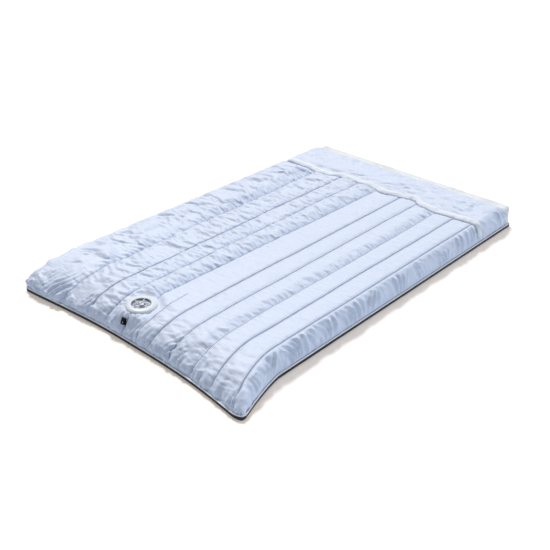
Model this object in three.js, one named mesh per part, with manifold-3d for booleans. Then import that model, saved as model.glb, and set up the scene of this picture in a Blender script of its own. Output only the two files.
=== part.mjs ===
// A bed pad cooled by one fan: a quilted cover over a thick open mesh core.
// The core sticks out of the cover at the head, where the air leaves, and the fan and its power panel
// sit at the foot.
// Units are millimetres. X runs to the right seen from the foot, Y towards the head and Z up.
import * as THREE from "three";
import { mergeVertices } from "three/addons/utils/BufferGeometryUtils.js";
import Module from "manifold-3d";

const solids = await Module();
solids.setup();

// Overall sizes
const padWidth = 900;
const coverLength = 1405;
const coreShowing = 60;
const seamHeight = 83;
const hemHeight = 14;

// Room between pieces that touch, and how far a cut runs past what it cuts
const seatGap = 0.3;
const cutOverrun = 40;

// Outline of the cover
const cornerRadius = 30;
const rightCornerFlare = 58;
const leftCornerFlare = 8;
const flareReach = 200;
const flareRowPower = 1.3;
const flareSidePower = 3;
const footPullIn = 30;
const pullEasePower = 1.5;
const leftPullPower = 2;
const rightPullPower = 4;
const footFall = 180;
const footTurnShares = [1, 0.95, 0.83, 0.67, 0.47, 0.24, 0];
const sideTurnShares = [1, 0.91, 0.68, 0.36];
const bodyRowShares = [0.1, 0.5];
const rightSideFall = 28;
const leftSideFall = 30;
const headSideReach = 40;
const headEdgeRoll = 4;
const headEdgeDepth = 12;

// Quilting: seams run lengthwise, as shares of the half width, each with a share of the deepest seam
const seamPlaceShares = [-0.596, -0.356, -0.187, 0, 0.253, 0.422, 0.616, 0.778];
const seamDepthShares = [1, 0.3, 0.45, 1, 0.35, 0.6, 1, 0.6];
const edgeSeamDepthShare = 0.7;
const seamDepth = 4;
const crownHeight = 6;
const crownSpan = 90;
const crownColumnShares = [0, 0.2, 0.5, 0.8];
const dartPlaceShare = 0.127;
const dartLength = 240;
const dartDepth = 3;
const dartWidth = 14;
const hemFadeShare = 0.3;

// The seam across the head end, its tape and the plain cloth behind it
const crossSeamFromEdge = 185;
const crossSeamDepth = 3;
const crossSeamWave = 11;
const crossSeamPitch = 260;
const crossSeamPeakShare = -0.2;
const crossSeamBlend = 34;
const headClothCrown = 3;
const tapeFromSeam = 5;
const tapeWidth = 20;
const tapeThickness = 1.2;

// Piping, underside sheet and core
const pipingRadius = 2.2;
const pipingSides = 6;
const undersideThickness = 2;
const undersideTuck = 3;
const coreSideRoom = 9.7;
const coreTop = 72;
const coreClearance = 0.6;
const coreEdgeChamfer = 16;
const coreEndRadius = 16;
const coreFootY = 62;
const coreFootStepY = 100;
const coreSlopeY = 165;
const coreSlopeEndY = 230;
const coreFootZ = 28;
const coreFootStepZ = 50;
const coreSlopeZ = 64;

// Fan unit, on an upright axis
const fanX = -12;
const fanFromFoot = 113;
const fanSeatZ = 76;
const quiltAtFan = 8;
const fanSeatRadius = 52;
const fanBlendRadius = 80;
const wellRadius = 50;
const bezelRadius = 47;
const bezelHeight = 8;
const bezelRim = 1.9;
const bezelRimBevel = 1.1;
const bezelLip = 1.7;
const bezelLipEdge = 1.2;
const bezelOpening = 29;
const collarInner = 33;
const collarWall = 2.5;
const collarSlack = 0.7;
const ductRadius = 32;
const ductWall = 2.5;
const ductBottom = 44;
const flangeThickness = 4;
const strutCount = 3;
const strutWidth = 5;
const motorPlateRadius = 14;
const motorPlateThickness = 3;
const leadHoleRadius = 1.9;

// Grille
const grilleSleeveWall = 1.7;
const grilleHubRadius = 8;
const grilleRingRadius = 19;
const grilleRingWidth = 1.3;
const grilleBar = 2;
const grilleThickness = 1.8;
const grilleSpokes = 6;

// Impeller and motor
const bladeCount = 7;
const bladeTip = 29.8;
const bladeThickness = 1.5;
const bladeRootChord = 15;
const bladeTipChord = 21;
const bladeRootPitch = Math.PI / 3.6;
const bladeTipPitch = Math.PI / 6;
const bladeStations = 4;
const bladeRootSink = 1;
const bladeCentreZ = 64;
const hubRadius = 14.8;
const hubWall = 1.6;
const hubBottom = 51;
const hubTop = 76;
const hubCrown = 2;
const hubBossRadius = 3.6;
const hubBossLength = 5;
const shaftRadius = 1.5;
const shaftBottom = 46.2;
const shaftTopGap = 0.6;
const yokeThickness = 0.8;
const yokeHeight = 16;
const magnetThickness = 1.7;
const magnetHeight = 14;
const magnetBottom = 52;
const bearingTubeRadius = 5;
const bearingTubeTop = 68;
const bearingRadius = 3.9;
const bearingHeight = 4;
const lowerBearingZ = 48;
const upperBearingZ = 63;
const bearingPocketDepth = 1.5;
const clipRadius = 2.9;
const clipThickness = 0.6;
const clipZ = 47;
const statorBottom = 54;
const statorHeight = 8;
const statorCoreRadius = 6.6;
const toothCount = 4;
const toothTip = 9.4;
const toothWidth = 2.4;
const toothShoeDepth = 1.1;
const toothShoeWidth = 5.2;
const coilThickness = 1.1;
const coilGap = 0.3;
const motorBoardRadius = 12.6;
const motorBoardThickness = 1.2;

// Stand under the fan, and the screws
const standPlate = 2.5;
const standPlateRadius = 47;
const standPlateHole = 16;
const postRadius = 3.6;
const screwCircle = 41;
const screwShankRadius = 1.5;
const screwHoleRadius = 1.8;
const screwHeadRadius = 2.8;
const screwHeadHeight = 1.8;
const screwSocketRadius = 1.3;
const screwSocketDepth = 1;
const screwSocketSides = 6;
const bezelScrewBite = 3;
const standScrewLength = 14;
const fastenerCount = 4;

// Power panel on the foot slope, with a rocker above and a socket below
const panelFromHem = 17;
const panelWidth = 13.6;
const panelLength = 21;
const panelFlange = 1.6;
const panelCorner = 1.6;
const panelBodyInset = 0.8;
const panelBodyDepth = 12;
const panelSink = 1.5;
const quiltAtPanel = 6;
const panelHoleSlack = 0.3;
const backingThickness = 2;
const backingRim = 4.6;
const backingPocketSlack = 0.6;
const barbWidth = 0.9;
const barbHeight = 1.2;
const rockerWidth = 9.4;
const rockerLength = 7.4;
const rockerWindowWidth = 10.2;
const rockerWindowLength = 9.2;
const rockerPlace = 4.7;
const rockerSwing = 18;
const rockerProud = 1.5;
const rockerWaist = 0.5;
const rockerDepth = 3.4;
const rockerPivotDepth = 2;
const rockerPinRadius = 0.75;
const rockerPinHoleRadius = 1.05;
const rockerPinSeat = 0.7;
const socketPlace = -5;
const socketOuter = 3.8;
const socketInner = 2.9;
const socketDepth = 9.5;
const socketFloor = 1.5;
const socketLip = 3.2;
const socketPinRadius = 1;
const socketPinLength = 7.5;
const boardThickness = 1.2;
const leadRadius = 1.2;
const leadSag = 2;

// Smoothness of round shapes
const fineTurns = 44;
const roundTurns = 32;
const smallTurns = 16;
const cornerSteps = 4;
const leadSides = 8;

const hemHalfWidth = padWidth / 2 - 2 * pipingRadius - seatGap;
const rightEdge = hemHalfWidth - rightSideFall;
const leftEdge = hemHalfWidth - leftSideFall;
const coreHalfWidth = hemHalfWidth - coreSideRoom;
const crossSeamY = coverLength - crossSeamFromEdge;
const coreEnd = coverLength + coreShowing;
const fanSeatTop = fanSeatZ + seatGap;
const quiltUnderFan = fanSeatZ - quiltAtFan;
const flangeTop = quiltUnderFan - seatGap;
const flangeBottom = flangeTop - flangeThickness;
const bezelTop = fanSeatTop + bezelHeight;
const ductOuter = ductRadius + ductWall;
const collarOuter = collarInner + collarWall;
const coreBottom = undersideThickness + seatGap;
const leadHeight = ductBottom + motorPlateThickness + leadRadius + seatGap;

function clampShare(value) {
  return Math.min(1, Math.max(0, value));
}

function smoothShare(value) {
  const share = clampShare(value);
  return share * share * (3 - 2 * share);
}

// Geometry from points and triangles, turned so that its faces point out.
function closedGeometry(points, triangles) {
  let volume = 0;
  for (const [a, b, c] of triangles) {
    volume += points[a].dot(new THREE.Vector3().crossVectors(points[b], points[c]));
  }
  const turned = volume < 0 ? triangles.map(([a, b, c]) => [a, c, b]) : triangles;
  const geometry = new THREE.BufferGeometry();
  geometry.setAttribute(
    "position",
    new THREE.Float32BufferAttribute(points.flatMap((p) => [p.x, p.y, p.z]), 3),
  );
  geometry.setIndex(turned.flat());
  return geometry;
}

// Triangles that close a loop of points; indices count into the same list of points.
// The first strips run straight across, from the loop's start to its end.
function capLoop(points, loop, flip, strips = 0) {
  const triangles = [];
  for (let place = 0; place < strips; place += 1) {
    const [a, b] = [loop[place], loop[place + 1]];
    const [c, d] = [loop[loop.length - 2 - place], loop[loop.length - 1 - place]];
    triangles.push(flip ? [a, c, b] : [a, b, c], flip ? [a, d, c] : [a, c, d]);
  }
  const rest = loop.slice(strips, loop.length - strips);
  const normal = new THREE.Vector3();
  rest.forEach((index, place) => {
    const a = points[index];
    const b = points[rest[(place + 1) % rest.length]];
    normal.add(new THREE.Vector3().crossVectors(a, b));
  });
  normal.normalize();
  const helper = new THREE.Vector3(0, 0, 1);
  if (Math.abs(normal.z) > Math.SQRT1_2) helper.set(1, 0, 0);
  const across = new THREE.Vector3().crossVectors(helper, normal).normalize();
  const along = new THREE.Vector3().crossVectors(normal, across);
  const flat = rest.map((i) => new THREE.Vector2(points[i].dot(across), points[i].dot(along)));
  for (const [a, b, c] of THREE.ShapeUtils.triangulateShape(flat, [])) {
    const turn = flat[b].clone().sub(flat[a]).cross(flat[c].clone().sub(flat[a]));
    triangles.push(turn > 0 !== flip ? [rest[a], rest[b], rest[c]] : [rest[a], rest[c], rest[b]]);
  }
  return triangles;
}

// A closed body through rings that hold the same number of points.
function loftGeometry(rings, strips = 0) {
  const size = rings[0].length;
  const points = rings.flat();
  const triangles = [];
  for (let ring = 0; ring + 1 < rings.length; ring += 1) {
    for (let place = 0; place < size; place += 1) {
      const next = (place + 1) % size;
      const a = ring * size + place;
      const b = ring * size + next;
      triangles.push([a, b, b + size], [a, b + size, a + size]);
    }
  }
  const first = rings[0].map((_, i) => i);
  const last = first.map((i) => i + size * (rings.length - 1));
  triangles.push(...capLoop(points, first, true, strips), ...capLoop(points, last, false, strips));
  return closedGeometry(points, triangles);
}

// A geometry as a solid for cutting and joining, and back again.
function solidOf(geometry) {
  const bare = geometry.clone();
  bare.deleteAttribute("normal");
  bare.deleteAttribute("uv");
  const merged = mergeVertices(bare);
  return new solids.Manifold(
    new solids.Mesh({
      numProp: 3,
      vertProperties: Float32Array.from(merged.attributes.position.array),
      triVerts: Uint32Array.from(merged.index.array),
    }),
  );
}

function geometryOf(solid) {
  const mesh = solid.getMesh();
  const places = Float32Array.from(mesh.vertProperties);
  const geometry = new THREE.BufferGeometry();
  geometry.setAttribute("position", new THREE.BufferAttribute(places, 3));
  geometry.setIndex(new THREE.BufferAttribute(Uint32Array.from(mesh.triVerts), 1));
  return geometry;
}

function cut(geometry, cutters) {
  return geometryOf(cutters.reduce((body, cutter) => body.subtract(solidOf(cutter)), solidOf(geometry)));
}

function join(geometries) {
  return geometryOf(geometries.map(solidOf).reduce((body, other) => body.add(other)));
}

function overlapOf(geometries) {
  return geometryOf(geometries.map(solidOf).reduce((body, other) => body.intersect(other)));
}

// Round pieces about an upright axis through the origin.
function disc(radius, bottom, top, turns = roundTurns) {
  const geometry = new THREE.CylinderGeometry(radius, radius, top - bottom, turns);
  return geometry.rotateX(Math.PI / 2).translate(0, 0, (top + bottom) / 2);
}

function turned(profile, turns = roundTurns) {
  const outline = profile.map(([radius, z]) => new THREE.Vector2(radius, z));
  return new THREE.LatheGeometry([...outline, outline[0].clone()], turns).rotateX(Math.PI / 2);
}

function ring(inner, outer, bottom, top, turns = roundTurns) {
  return turned([[inner, bottom], [outer, bottom], [outer, top], [inner, top]], turns);
}

function block(width, length, bottom, top) {
  return new THREE.BoxGeometry(width, length, top - bottom).translate(0, 0, (top + bottom) / 2);
}

function aroundAxis(geometry, radius, angle) {
  return geometry.clone().translate(radius, 0, 0).rotateZ(angle);
}

// Where a point of the flat pattern lies in plan, with round foot corners that spread a little
// and a foot edge that is drawn in between them.
function planPoint(x, y) {
  const side = Math.abs(x);
  const sideShare = clampShare((cornerRadius - (hemHalfWidth - side)) / cornerRadius);
  const footShare = clampShare((cornerRadius - y) / cornerRadius);
  let planX = side;
  let planY = y;
  if (sideShare > 0 && footShare > 0) {
    planX = hemHalfWidth - cornerRadius + cornerRadius * sideShare * Math.sqrt(1 - footShare ** 2 / 2);
    planY = cornerRadius - cornerRadius * footShare * Math.sqrt(1 - sideShare ** 2 / 2);
  }
  const outward = side / hemHalfWidth;
  const flare = x < 0 ? leftCornerFlare : rightCornerFlare;
  planX += flare * clampShare(1 - y / flareReach) ** flareRowPower * outward ** flareSidePower;
  const pullShare = 1 - outward ** (x < 0 ? leftPullPower : rightPullPower);
  planY += footPullIn * clampShare(1 - y / footFall) * pullShare ** pullEasePower;
  return new THREE.Vector2(Math.sign(x) * planX, planY);
}

// How far a place of the pattern has gone down its side fall and its foot fall, from 0 to 1.
function fallShares(x, y) {
  const side = x < 0 ? (-x - leftEdge) / leftSideFall : (x - rightEdge) / rightSideFall;
  return { side: clampShare(side), foot: clampShare((footFall - y) / footFall) };
}

// Crown of the quilting over the level of its seams.
function quiltCrown(x, y) {
  const seams = seamPlaceShares.map((share) => share * hemHalfWidth);
  const stops = [-hemHalfWidth, ...seams, rightEdge, hemHalfWidth];
  const depths = [0, ...seamDepthShares, edgeSeamDepthShare, 0].map((share) => share * seamDepth);
  const after = Math.max(1, stops.findIndex((stop, place) => place > 0 && x <= stop));
  const from = stops[after - 1];
  const span = stops[after] - from;
  const share = (x - from) / span;
  const valley = -(depths[after - 1] * (1 - share) + depths[after] * share);
  const crown = crownHeight * Math.sqrt(span / crownSpan);
  const arch = Math.sqrt(Math.max(0, 1 - (2 * share - 1) ** 2));
  const dartFade = smoothShare((dartLength - y) / dartLength / hemFadeShare);
  const fromDart = (x - dartPlaceShare * hemHalfWidth) / dartWidth;
  const dart = dartDepth * dartFade * Math.exp(-(fromDart ** 2));
  return valley + (crown - valley) * arch - dart;
}

function crossSeamAt(x) {
  const peak = crossSeamPeakShare * hemHalfWidth;
  return crossSeamY + crossSeamWave * Math.cos((2 * Math.PI * (x - peak)) / crossSeamPitch);
}

// How near the fan a place lies: 1 on its seat, 0 where the fan no longer shapes the cover.
function fanNearness(plan) {
  const away = Math.hypot(plan.x - fanX, plan.y - fanFromFoot);
  return 1 - smoothShare((away - fanSeatRadius) / (fanBlendRadius - fanSeatRadius));
}

// The cover's outer surface at a place of the pattern, and the direction that it faces there.
function coverPoint(x, y) {
  const plan = planPoint(x, y);
  const falls = fallShares(x, y);
  const rise = Math.sqrt(1 - falls.side ** 2) * Math.sqrt(1 - falls.foot ** 2);
  const near = fanNearness(plan);
  const level = hemHeight + (seamHeight - hemHeight) * rise;
  const height = level + (fanSeatZ - level) * near * (rise > 0 ? 1 : 0);
  const sideFall = x < 0 ? leftSideFall : rightSideFall;
  const facing = new THREE.Vector3(
    (Math.sign(x) * falls.side) / sideFall,
    -falls.foot / footFall,
    rise / (seamHeight - hemHeight),
  ).normalize();
  const seam = crossSeamAt(x);
  const headward = smoothShare((y - seam) / crossSeamBlend);
  const atSeam = Math.exp(-(((y - seam) / (crossSeamBlend / 2)) ** 2));
  const edge = smoothShare((y - coverLength + headEdgeDepth) / headEdgeDepth);
  const quilt = quiltCrown(x, y) * (1 - headward) + headClothCrown * headward;
  const crown = (quilt * (1 - atSeam) - crossSeamDepth * atSeam - headEdgeRoll * edge) * (1 - near);
  const fade = smoothShare(rise / hemFadeShare);
  const point = new THREE.Vector3(plan.x, plan.y, height).addScaledVector(facing, crown * fade);
  return { point, facing };
}

// Columns and rows of the cover's surface, closer together where it turns. Two of the rows are the
// tape's edges, a step behind the cross seam.
const seamSteps = [-crossSeamBlend, 0, tapeFromSeam, tapeFromSeam + tapeWidth];
const headSteps = [headEdgeDepth + 2 * crossSeamBlend, headEdgeDepth, 0];

function coverColumns() {
  const left = sideTurnShares.map((share) => -(leftEdge + leftSideFall * share));
  const right = sideTurnShares.map((share) => rightEdge + rightSideFall * share).reverse();
  const stops = [-leftEdge, ...seamPlaceShares.map((share) => share * hemHalfWidth), rightEdge];
  const middle = [];
  for (let place = 0; place + 1 < stops.length; place += 1) {
    for (const share of crownColumnShares) {
      middle.push(stops[place] + (stops[place + 1] - stops[place]) * share);
    }
  }
  return [...left, ...middle, rightEdge, ...right];
}

function coverRows() {
  const foot = footTurnShares.map((share) => () => footFall * (1 - share));
  const body = bodyRowShares.map((share) => () => footFall + (crossSeamY - footFall) * share);
  const seam = seamSteps.map((step) => (x) => crossSeamAt(x) + step);
  const sideReach = (x) => headSideReach * (1 - Math.sqrt(1 - fallShares(x, coverLength).side ** 2));
  const head = headSteps.map((step) => (x) => coverLength - step + sideReach(x));
  return [...foot, ...body, ...seam, ...head];
}

const columns = coverColumns();
const rows = coverRows();
const straightStrips = rows.length - footTurnShares.length;
const tapeRow = footTurnShares.length + bodyRowShares.length + seamSteps.indexOf(tapeFromSeam);
const coverGrid = rows.map((row) => columns.map((x) => coverPoint(x, row(x))));

// The cover's edge from the left head end round the foot to the right head end.
function hemLoop() {
  const last = columns.length - 1;
  const left = coverGrid.map((row) => row[0].point).reverse();
  const foot = coverGrid[0].slice(1, last).map((place) => place.point);
  const right = coverGrid.map((row) => row[last].point);
  return [...left, ...foot, ...right].map((p) => new THREE.Vector2(p.x, p.y));
}

// The same edge drawn in towards the middle of the pad.
function insetHem(distance) {
  return hemLoop().map((p) => {
    const across = p.x * (1 - distance / hemHalfWidth);
    return new THREE.Vector2(across, p.y + distance * clampShare(1 - p.y / footFall));
  });
}

// The same edge moved outwards by an even distance, with mitred corners up to a limit.
const mitreLimitShare = 0.5;

function movedHem(distance) {
  const loop = hemLoop();
  return loop.map((point, place) => {
    const before = loop[Math.max(0, place - 1)];
    const after = loop[Math.min(loop.length - 1, place + 1)];
    const into = point.clone().sub(before).normalize();
    const out = after.clone().sub(point).normalize();
    const first = place === 0 ? out : into;
    const second = place === loop.length - 1 ? into : out;
    const mitre = first.clone().add(second).normalize();
    const lengthen = 1 / Math.max(mitreLimitShare, mitre.dot(first));
    return new THREE.Vector2(mitre.y, -mitre.x).multiplyScalar(distance * lengthen).add(point);
  });
}

function coverForm() {
  const points = coverGrid.flat().map((place) => place.point);
  const width = columns.length;
  const triangles = [];
  for (let row = 0; row + 1 < rows.length; row += 1) {
    for (let column = 0; column + 1 < width; column += 1) {
      const a = row * width + column;
      triangles.push([a, a + 1, a + 1 + width], [a, a + 1 + width, a + width]);
    }
  }
  const headStart = (rows.length - 1) * width;
  const headY = points[headStart].y;
  const below = columns.slice(1, -1).map((_, place) => {
    const above = points[headStart + place + 1];
    return points.push(new THREE.Vector3(above.x, headY, hemHeight)) - 1;
  });
  const base = [headStart, ...below, headStart + width - 1];
  for (let column = 0; column + 1 < width; column += 1) {
    const top = headStart + column;
    if (column > 0) triangles.push([top, top + 1, base[column]]);
    if (column + 2 < width) triangles.push([top + 1, base[column + 1], base[column]]);
  }
  const left = rows.slice(0, -1).map((_, row) => row * width).reverse();
  const foot = columns.slice(1).map((_, place) => place + 1);
  const right = rows.slice(1, -1).map((_, row) => (row + 2) * width - 1);
  for (let column = 0; column + 1 < width; column += 1) {
    triangles.push([left[0], base[column], base[column + 1]]);
  }
  triangles.push([left[0], base[width - 1], right[right.length - 1]]);
  triangles.push(...capLoop(points, [...left, ...foot, ...right], true, straightStrips - 1));
  return closedGeometry(points, triangles);
}

// The core's block: its side outline, its section and its plan, each grown by the same room.
function coreForm(room) {
  const bottom = coreBottom - (room > 0 ? cutOverrun : 0);
  const end = coreEnd + (room > 0 ? cutOverrun : 0);
  const top = coreTop + room;
  const side = new THREE.Shape(
    [
      [coreFootY - room, bottom],
      [end, bottom],
      [end, top],
      [coreSlopeEndY, top],
      [coreSlopeY, coreSlopeZ + room],
      [coreFootStepY, coreFootStepZ + room],
      [coreFootY - room, coreFootZ + room],
    ].map(([y, z]) => new THREE.Vector2(y, z)),
  );
  const half = coreHalfWidth + room;
  const sideBody = new THREE.ExtrudeGeometry(side, { depth: 2 * half, bevelEnabled: false });
  sideBody.rotateX(Math.PI / 2).rotateZ(Math.PI / 2).translate(-half, 0, 0);
  const section = new THREE.Shape(
    [
      [-half, bottom],
      [half, bottom],
      [half, top - coreEdgeChamfer],
      [half - coreEdgeChamfer / 3, top - coreEdgeChamfer / 3],
      [half - coreEdgeChamfer, top],
      [coreEdgeChamfer - half, top],
      [coreEdgeChamfer / 3 - half, top - coreEdgeChamfer / 3],
      [-half, top - coreEdgeChamfer],
    ].map(([x, z]) => new THREE.Vector2(x, z)),
  );
  const sectionBody = new THREE.ExtrudeGeometry(section, { depth: end, bevelEnabled: false });
  sectionBody.rotateX(Math.PI / 2).translate(0, end, 0);
  const bodies = [sideBody, sectionBody];
  if (room === 0) {
    const plan = new THREE.Shape();
    plan.moveTo(-half, 0).lineTo(half, 0).lineTo(half, end - coreEndRadius);
    plan.absarc(half - coreEndRadius, end - coreEndRadius, coreEndRadius, 0, Math.PI / 2, false);
    plan.lineTo(coreEndRadius - half, end);
    plan.absarc(coreEndRadius - half, end - coreEndRadius, coreEndRadius, Math.PI / 2, Math.PI, false);
    const options = { depth: coreTop, bevelEnabled: false, curveSegments: cornerSteps };
    bodies.push(new THREE.ExtrudeGeometry(plan, options));
  }
  return overlapOf(bodies);
}

function atFan(geometry) {
  return geometry.clone().translate(fanX, fanFromFoot, 0);
}

// The power panel's own frame: Z out of the slope, Y up the slope, and its origin on the cover.
// The slope is read between two places that lie a small share of the way apart.
const slopeProbeShare = 0.02;
const panelFrame = (() => {
  const here = coverPoint(fanX, panelFromHem).point;
  const above = coverPoint(fanX, panelFromHem * (1 + slopeProbeShare)).point;
  const slope = Math.atan2(above.z - here.z, above.y - here.y);
  const turn = new THREE.Quaternion().setFromAxisAngle(new THREE.Vector3(1, 0, 0), slope);
  const origin = new THREE.Vector3(0, 0, -panelSink).applyQuaternion(turn).add(here).setX(fanX);
  return { turn, origin, matrix: new THREE.Matrix4().compose(origin, turn, new THREE.Vector3(1, 1, 1)) };
})();

function atPanel(geometry) {
  return geometry.clone().applyMatrix4(panelFrame.matrix);
}

// Angles that share out a full turn, from a first one.
function evenAngles(count, start = 0) {
  return Array.from({ length: count }, (_, place) => start + (2 * Math.PI * place) / count);
}

const bezelScrewAngles = evenAngles(fastenerCount);
const standScrewAngles = evenAngles(fastenerCount, Math.PI / fastenerCount);

// The same geometry repeated on the circle of the screws.
function onScrewCircle(geometry, angles) {
  return angles.map((angle) => aroundAxis(geometry, screwCircle, angle));
}

function quiltedCover() {
  const seat = atFan(disc(fanSeatRadius, quiltUnderFan, fanSeatZ, fineTurns));
  const body = geometryOf(solidOf(coverForm()).add(solidOf(seat)));
  const bodyWidth = panelWidth - 2 * panelBodyInset + 2 * panelHoleSlack;
  const bodyLength = panelLength - 2 * panelBodyInset + 2 * panelHoleSlack;
  const pocket = 2 * (backingRim + backingPocketSlack);
  const screwHole = disc(screwHoleRadius, 0, fanSeatZ + cutOverrun, smallTurns);
  const cutters = [
    atFan(disc(fanSeatRadius, fanSeatZ, fanSeatZ + cutOverrun, fineTurns)),
    coreForm(coreClearance),
    atFan(disc(wellRadius, -cutOverrun, quiltUnderFan, fineTurns)),
    atFan(disc(collarOuter + collarSlack, 0, fanSeatZ + cutOverrun, fineTurns)),
    ...onScrewCircle(screwHole, bezelScrewAngles).map(atFan),
    atPanel(block(panelWidth + panelHoleSlack * 2, panelLength + panelHoleSlack * 2, 0, cutOverrun)),
    atPanel(block(bodyWidth, bodyLength, -cutOverrun, cutOverrun)),
    atPanel(block(panelWidth + pocket, panelLength + pocket, -cutOverrun, -quiltAtPanel)),
  ];
  return cut(body, cutters);
}

function undersideSheet() {
  const rimTop = hemHeight - seatGap;
  const slopeRun = undersideTuck / rimTop;
  const level = (loop, z, reach) => {
    const ends = [loop[0], loop[loop.length - 1]];
    return loop.map((p) => new THREE.Vector3(p.x, p.y + (ends.includes(p) ? reach : 0), z));
  };
  const outerRings = [level(insetHem(undersideTuck), 0, 0), level(insetHem(0), rimTop, 0)];
  const outer = loftGeometry(outerRings, straightStrips);
  const innerTuck = undersideTuck + undersideThickness - slopeRun * undersideThickness;
  const top = rimTop + undersideThickness;
  const innerTop = insetHem(innerTuck - slopeRun * (top - undersideThickness));
  const innerRings = [
    level(insetHem(innerTuck), undersideThickness, cutOverrun),
    level(innerTop, top, cutOverrun),
  ];
  const inner = loftGeometry(innerRings, straightStrips);
  return cut(outer, [inner]);
}

// A round bead beside the hem, as one loft along it.
function hemPiping() {
  const path = movedHem(pipingRadius + seatGap);
  const rings = path.map((point, place) => {
    const before = path[Math.max(0, place - 1)];
    const after = path[Math.min(path.length - 1, place + 1)];
    const ahead = after.clone().sub(before).normalize();
    const beside = new THREE.Vector3(ahead.y, -ahead.x, 0);
    return Array.from({ length: pipingSides }, (_, side) => {
      const angle = (2 * Math.PI * side) / pipingSides;
      return new THREE.Vector3(point.x, point.y, hemHeight)
        .addScaledVector(beside, pipingRadius * Math.cos(angle))
        .addScaledVector(new THREE.Vector3(0, 0, 1), pipingRadius * Math.sin(angle));
    });
  });
  return loftGeometry(rings);
}

// The tape lies on the cover just behind the cross seam, from one side fall to the other.
function headSeamTape() {
  const near = coverGrid[tapeRow];
  const far = coverGrid[tapeRow + 1];
  const lift = (place, height) => place.point.clone().addScaledVector(place.facing, height);
  const over = seatGap + tapeThickness;
  const rings = [];
  for (let column = 1; column + 1 < columns.length; column += 1) {
    rings.push([
      lift(near[column], seatGap),
      lift(far[column], seatGap),
      lift(far[column], over),
      lift(near[column], over),
    ]);
  }
  return loftGeometry(rings);
}

function meshCore() {
  return cut(coreForm(0), [atFan(disc(wellRadius, -cutOverrun, seamHeight + cutOverrun, fineTurns))]);
}

function fanBezel() {
  const lipUnder = bezelTop - bezelLip;
  const profile = [
    [collarInner, quiltUnderFan],
    [collarOuter, quiltUnderFan],
    [collarOuter, fanSeatTop],
    [bezelRadius, fanSeatTop],
    [bezelRadius, fanSeatTop + bezelRim],
    [bezelRadius - bezelRimBevel, fanSeatTop + bezelRim + bezelRimBevel],
    [collarInner, bezelTop],
    [bezelOpening + bezelLipEdge, bezelTop],
    [bezelOpening, bezelTop - bezelLipEdge],
    [bezelOpening, lipUnder],
    [collarInner, lipUnder],
  ];
  const holeTop = fanSeatTop + bezelScrewBite + seatGap;
  const hole = disc(screwHoleRadius, 0, holeTop, smallTurns);
  return cut(turned(profile, fineTurns), onScrewCircle(hole, bezelScrewAngles));
}

function fanGrille() {
  const sleeveOuter = collarInner - seatGap;
  const sleeveInner = sleeveOuter - grilleSleeveWall;
  const top = bezelTop - bezelLip - seatGap;
  const face = top - grilleThickness;
  const spoke = new THREE.BoxGeometry(sleeveInner + grilleSleeveWall / 2, grilleBar, grilleThickness);
  spoke.translate((sleeveInner + grilleSleeveWall / 2) / 2, 0, (top + face) / 2);
  return join([
    ring(sleeveInner, sleeveOuter, quiltUnderFan, top, fineTurns),
    disc(grilleHubRadius, face, top),
    ring(grilleRingRadius, grilleRingRadius + grilleRingWidth, face, top),
    ...evenAngles(grilleSpokes).map((angle) => spoke.clone().rotateZ(angle)),
  ]);
}

function fanHousing() {
  const duct = turned(
    [
      [ductRadius, ductBottom],
      [ductOuter, ductBottom],
      [ductOuter, flangeBottom],
      [bezelRadius, flangeBottom],
      [bezelRadius, flangeTop],
      [ductRadius, flangeTop],
    ],
    fineTurns,
  );
  const plateTop = ductBottom + motorPlateThickness;
  const strutLength = ductRadius + ductWall / 2;
  const strut = new THREE.BoxGeometry(strutLength, strutWidth, motorPlateThickness);
  strut.translate(strutLength / 2, 0, (ductBottom + plateTop) / 2);
  const struts = evenAngles(strutCount, Math.PI / 2).map((angle) => strut.clone().rotateZ(angle));
  const body = join([
    duct,
    disc(motorPlateRadius, ductBottom, plateTop),
    disc(bearingTubeRadius, ductBottom, bearingTubeTop),
    ...struts,
  ]);
  const leadHole = disc(leadHoleRadius, ductRadius - ductWall, cutOverrun, smallTurns);
  leadHole.rotateX(Math.PI / 2).translate(0, 0, leadHeight);
  const headSink = flangeTop - screwHeadHeight - 2 * seatGap;
  const pocketBottom = plateTop - bearingPocketDepth;
  const through = disc(screwHoleRadius, 0, flangeTop + cutOverrun, smallTurns);
  const headPocket = disc(screwHeadRadius + seatGap, headSink, flangeTop + cutOverrun, smallTurns);
  return cut(body, [
    disc(bearingRadius + seatGap, pocketBottom, bearingTubeTop + cutOverrun, smallTurns),
    leadHole,
    ...onScrewCircle(through, [...bezelScrewAngles, ...standScrewAngles]),
    ...onScrewCircle(headPocket, standScrewAngles),
  ]);
}

function bladeGeometry() {
  const stations = Array.from({ length: bladeStations }, (_, place) => {
    const share = place / (bladeStations - 1);
    const start = hubRadius - bladeRootSink;
    const radius = start + (bladeTip - start) * share;
    const chord = bladeRootChord + (bladeTipChord - bladeRootChord) * share;
    const pitch = bladeRootPitch + (bladeTipPitch - bladeRootPitch) * share;
    const corners = [[-1, -1], [1, -1], [1, 1], [-1, 1]];
    return corners.map(([along, over]) => {
      const a = (along * chord) / 2;
      const b = (over * bladeThickness) / 2;
      const side = a * Math.cos(pitch) - b * Math.sin(pitch);
      const up = a * Math.sin(pitch) + b * Math.cos(pitch);
      const angle = side / radius;
      return new THREE.Vector3(radius * Math.cos(angle), radius * Math.sin(angle), bladeCentreZ + up);
    });
  });
  return loftGeometry(stations);
}

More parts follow.
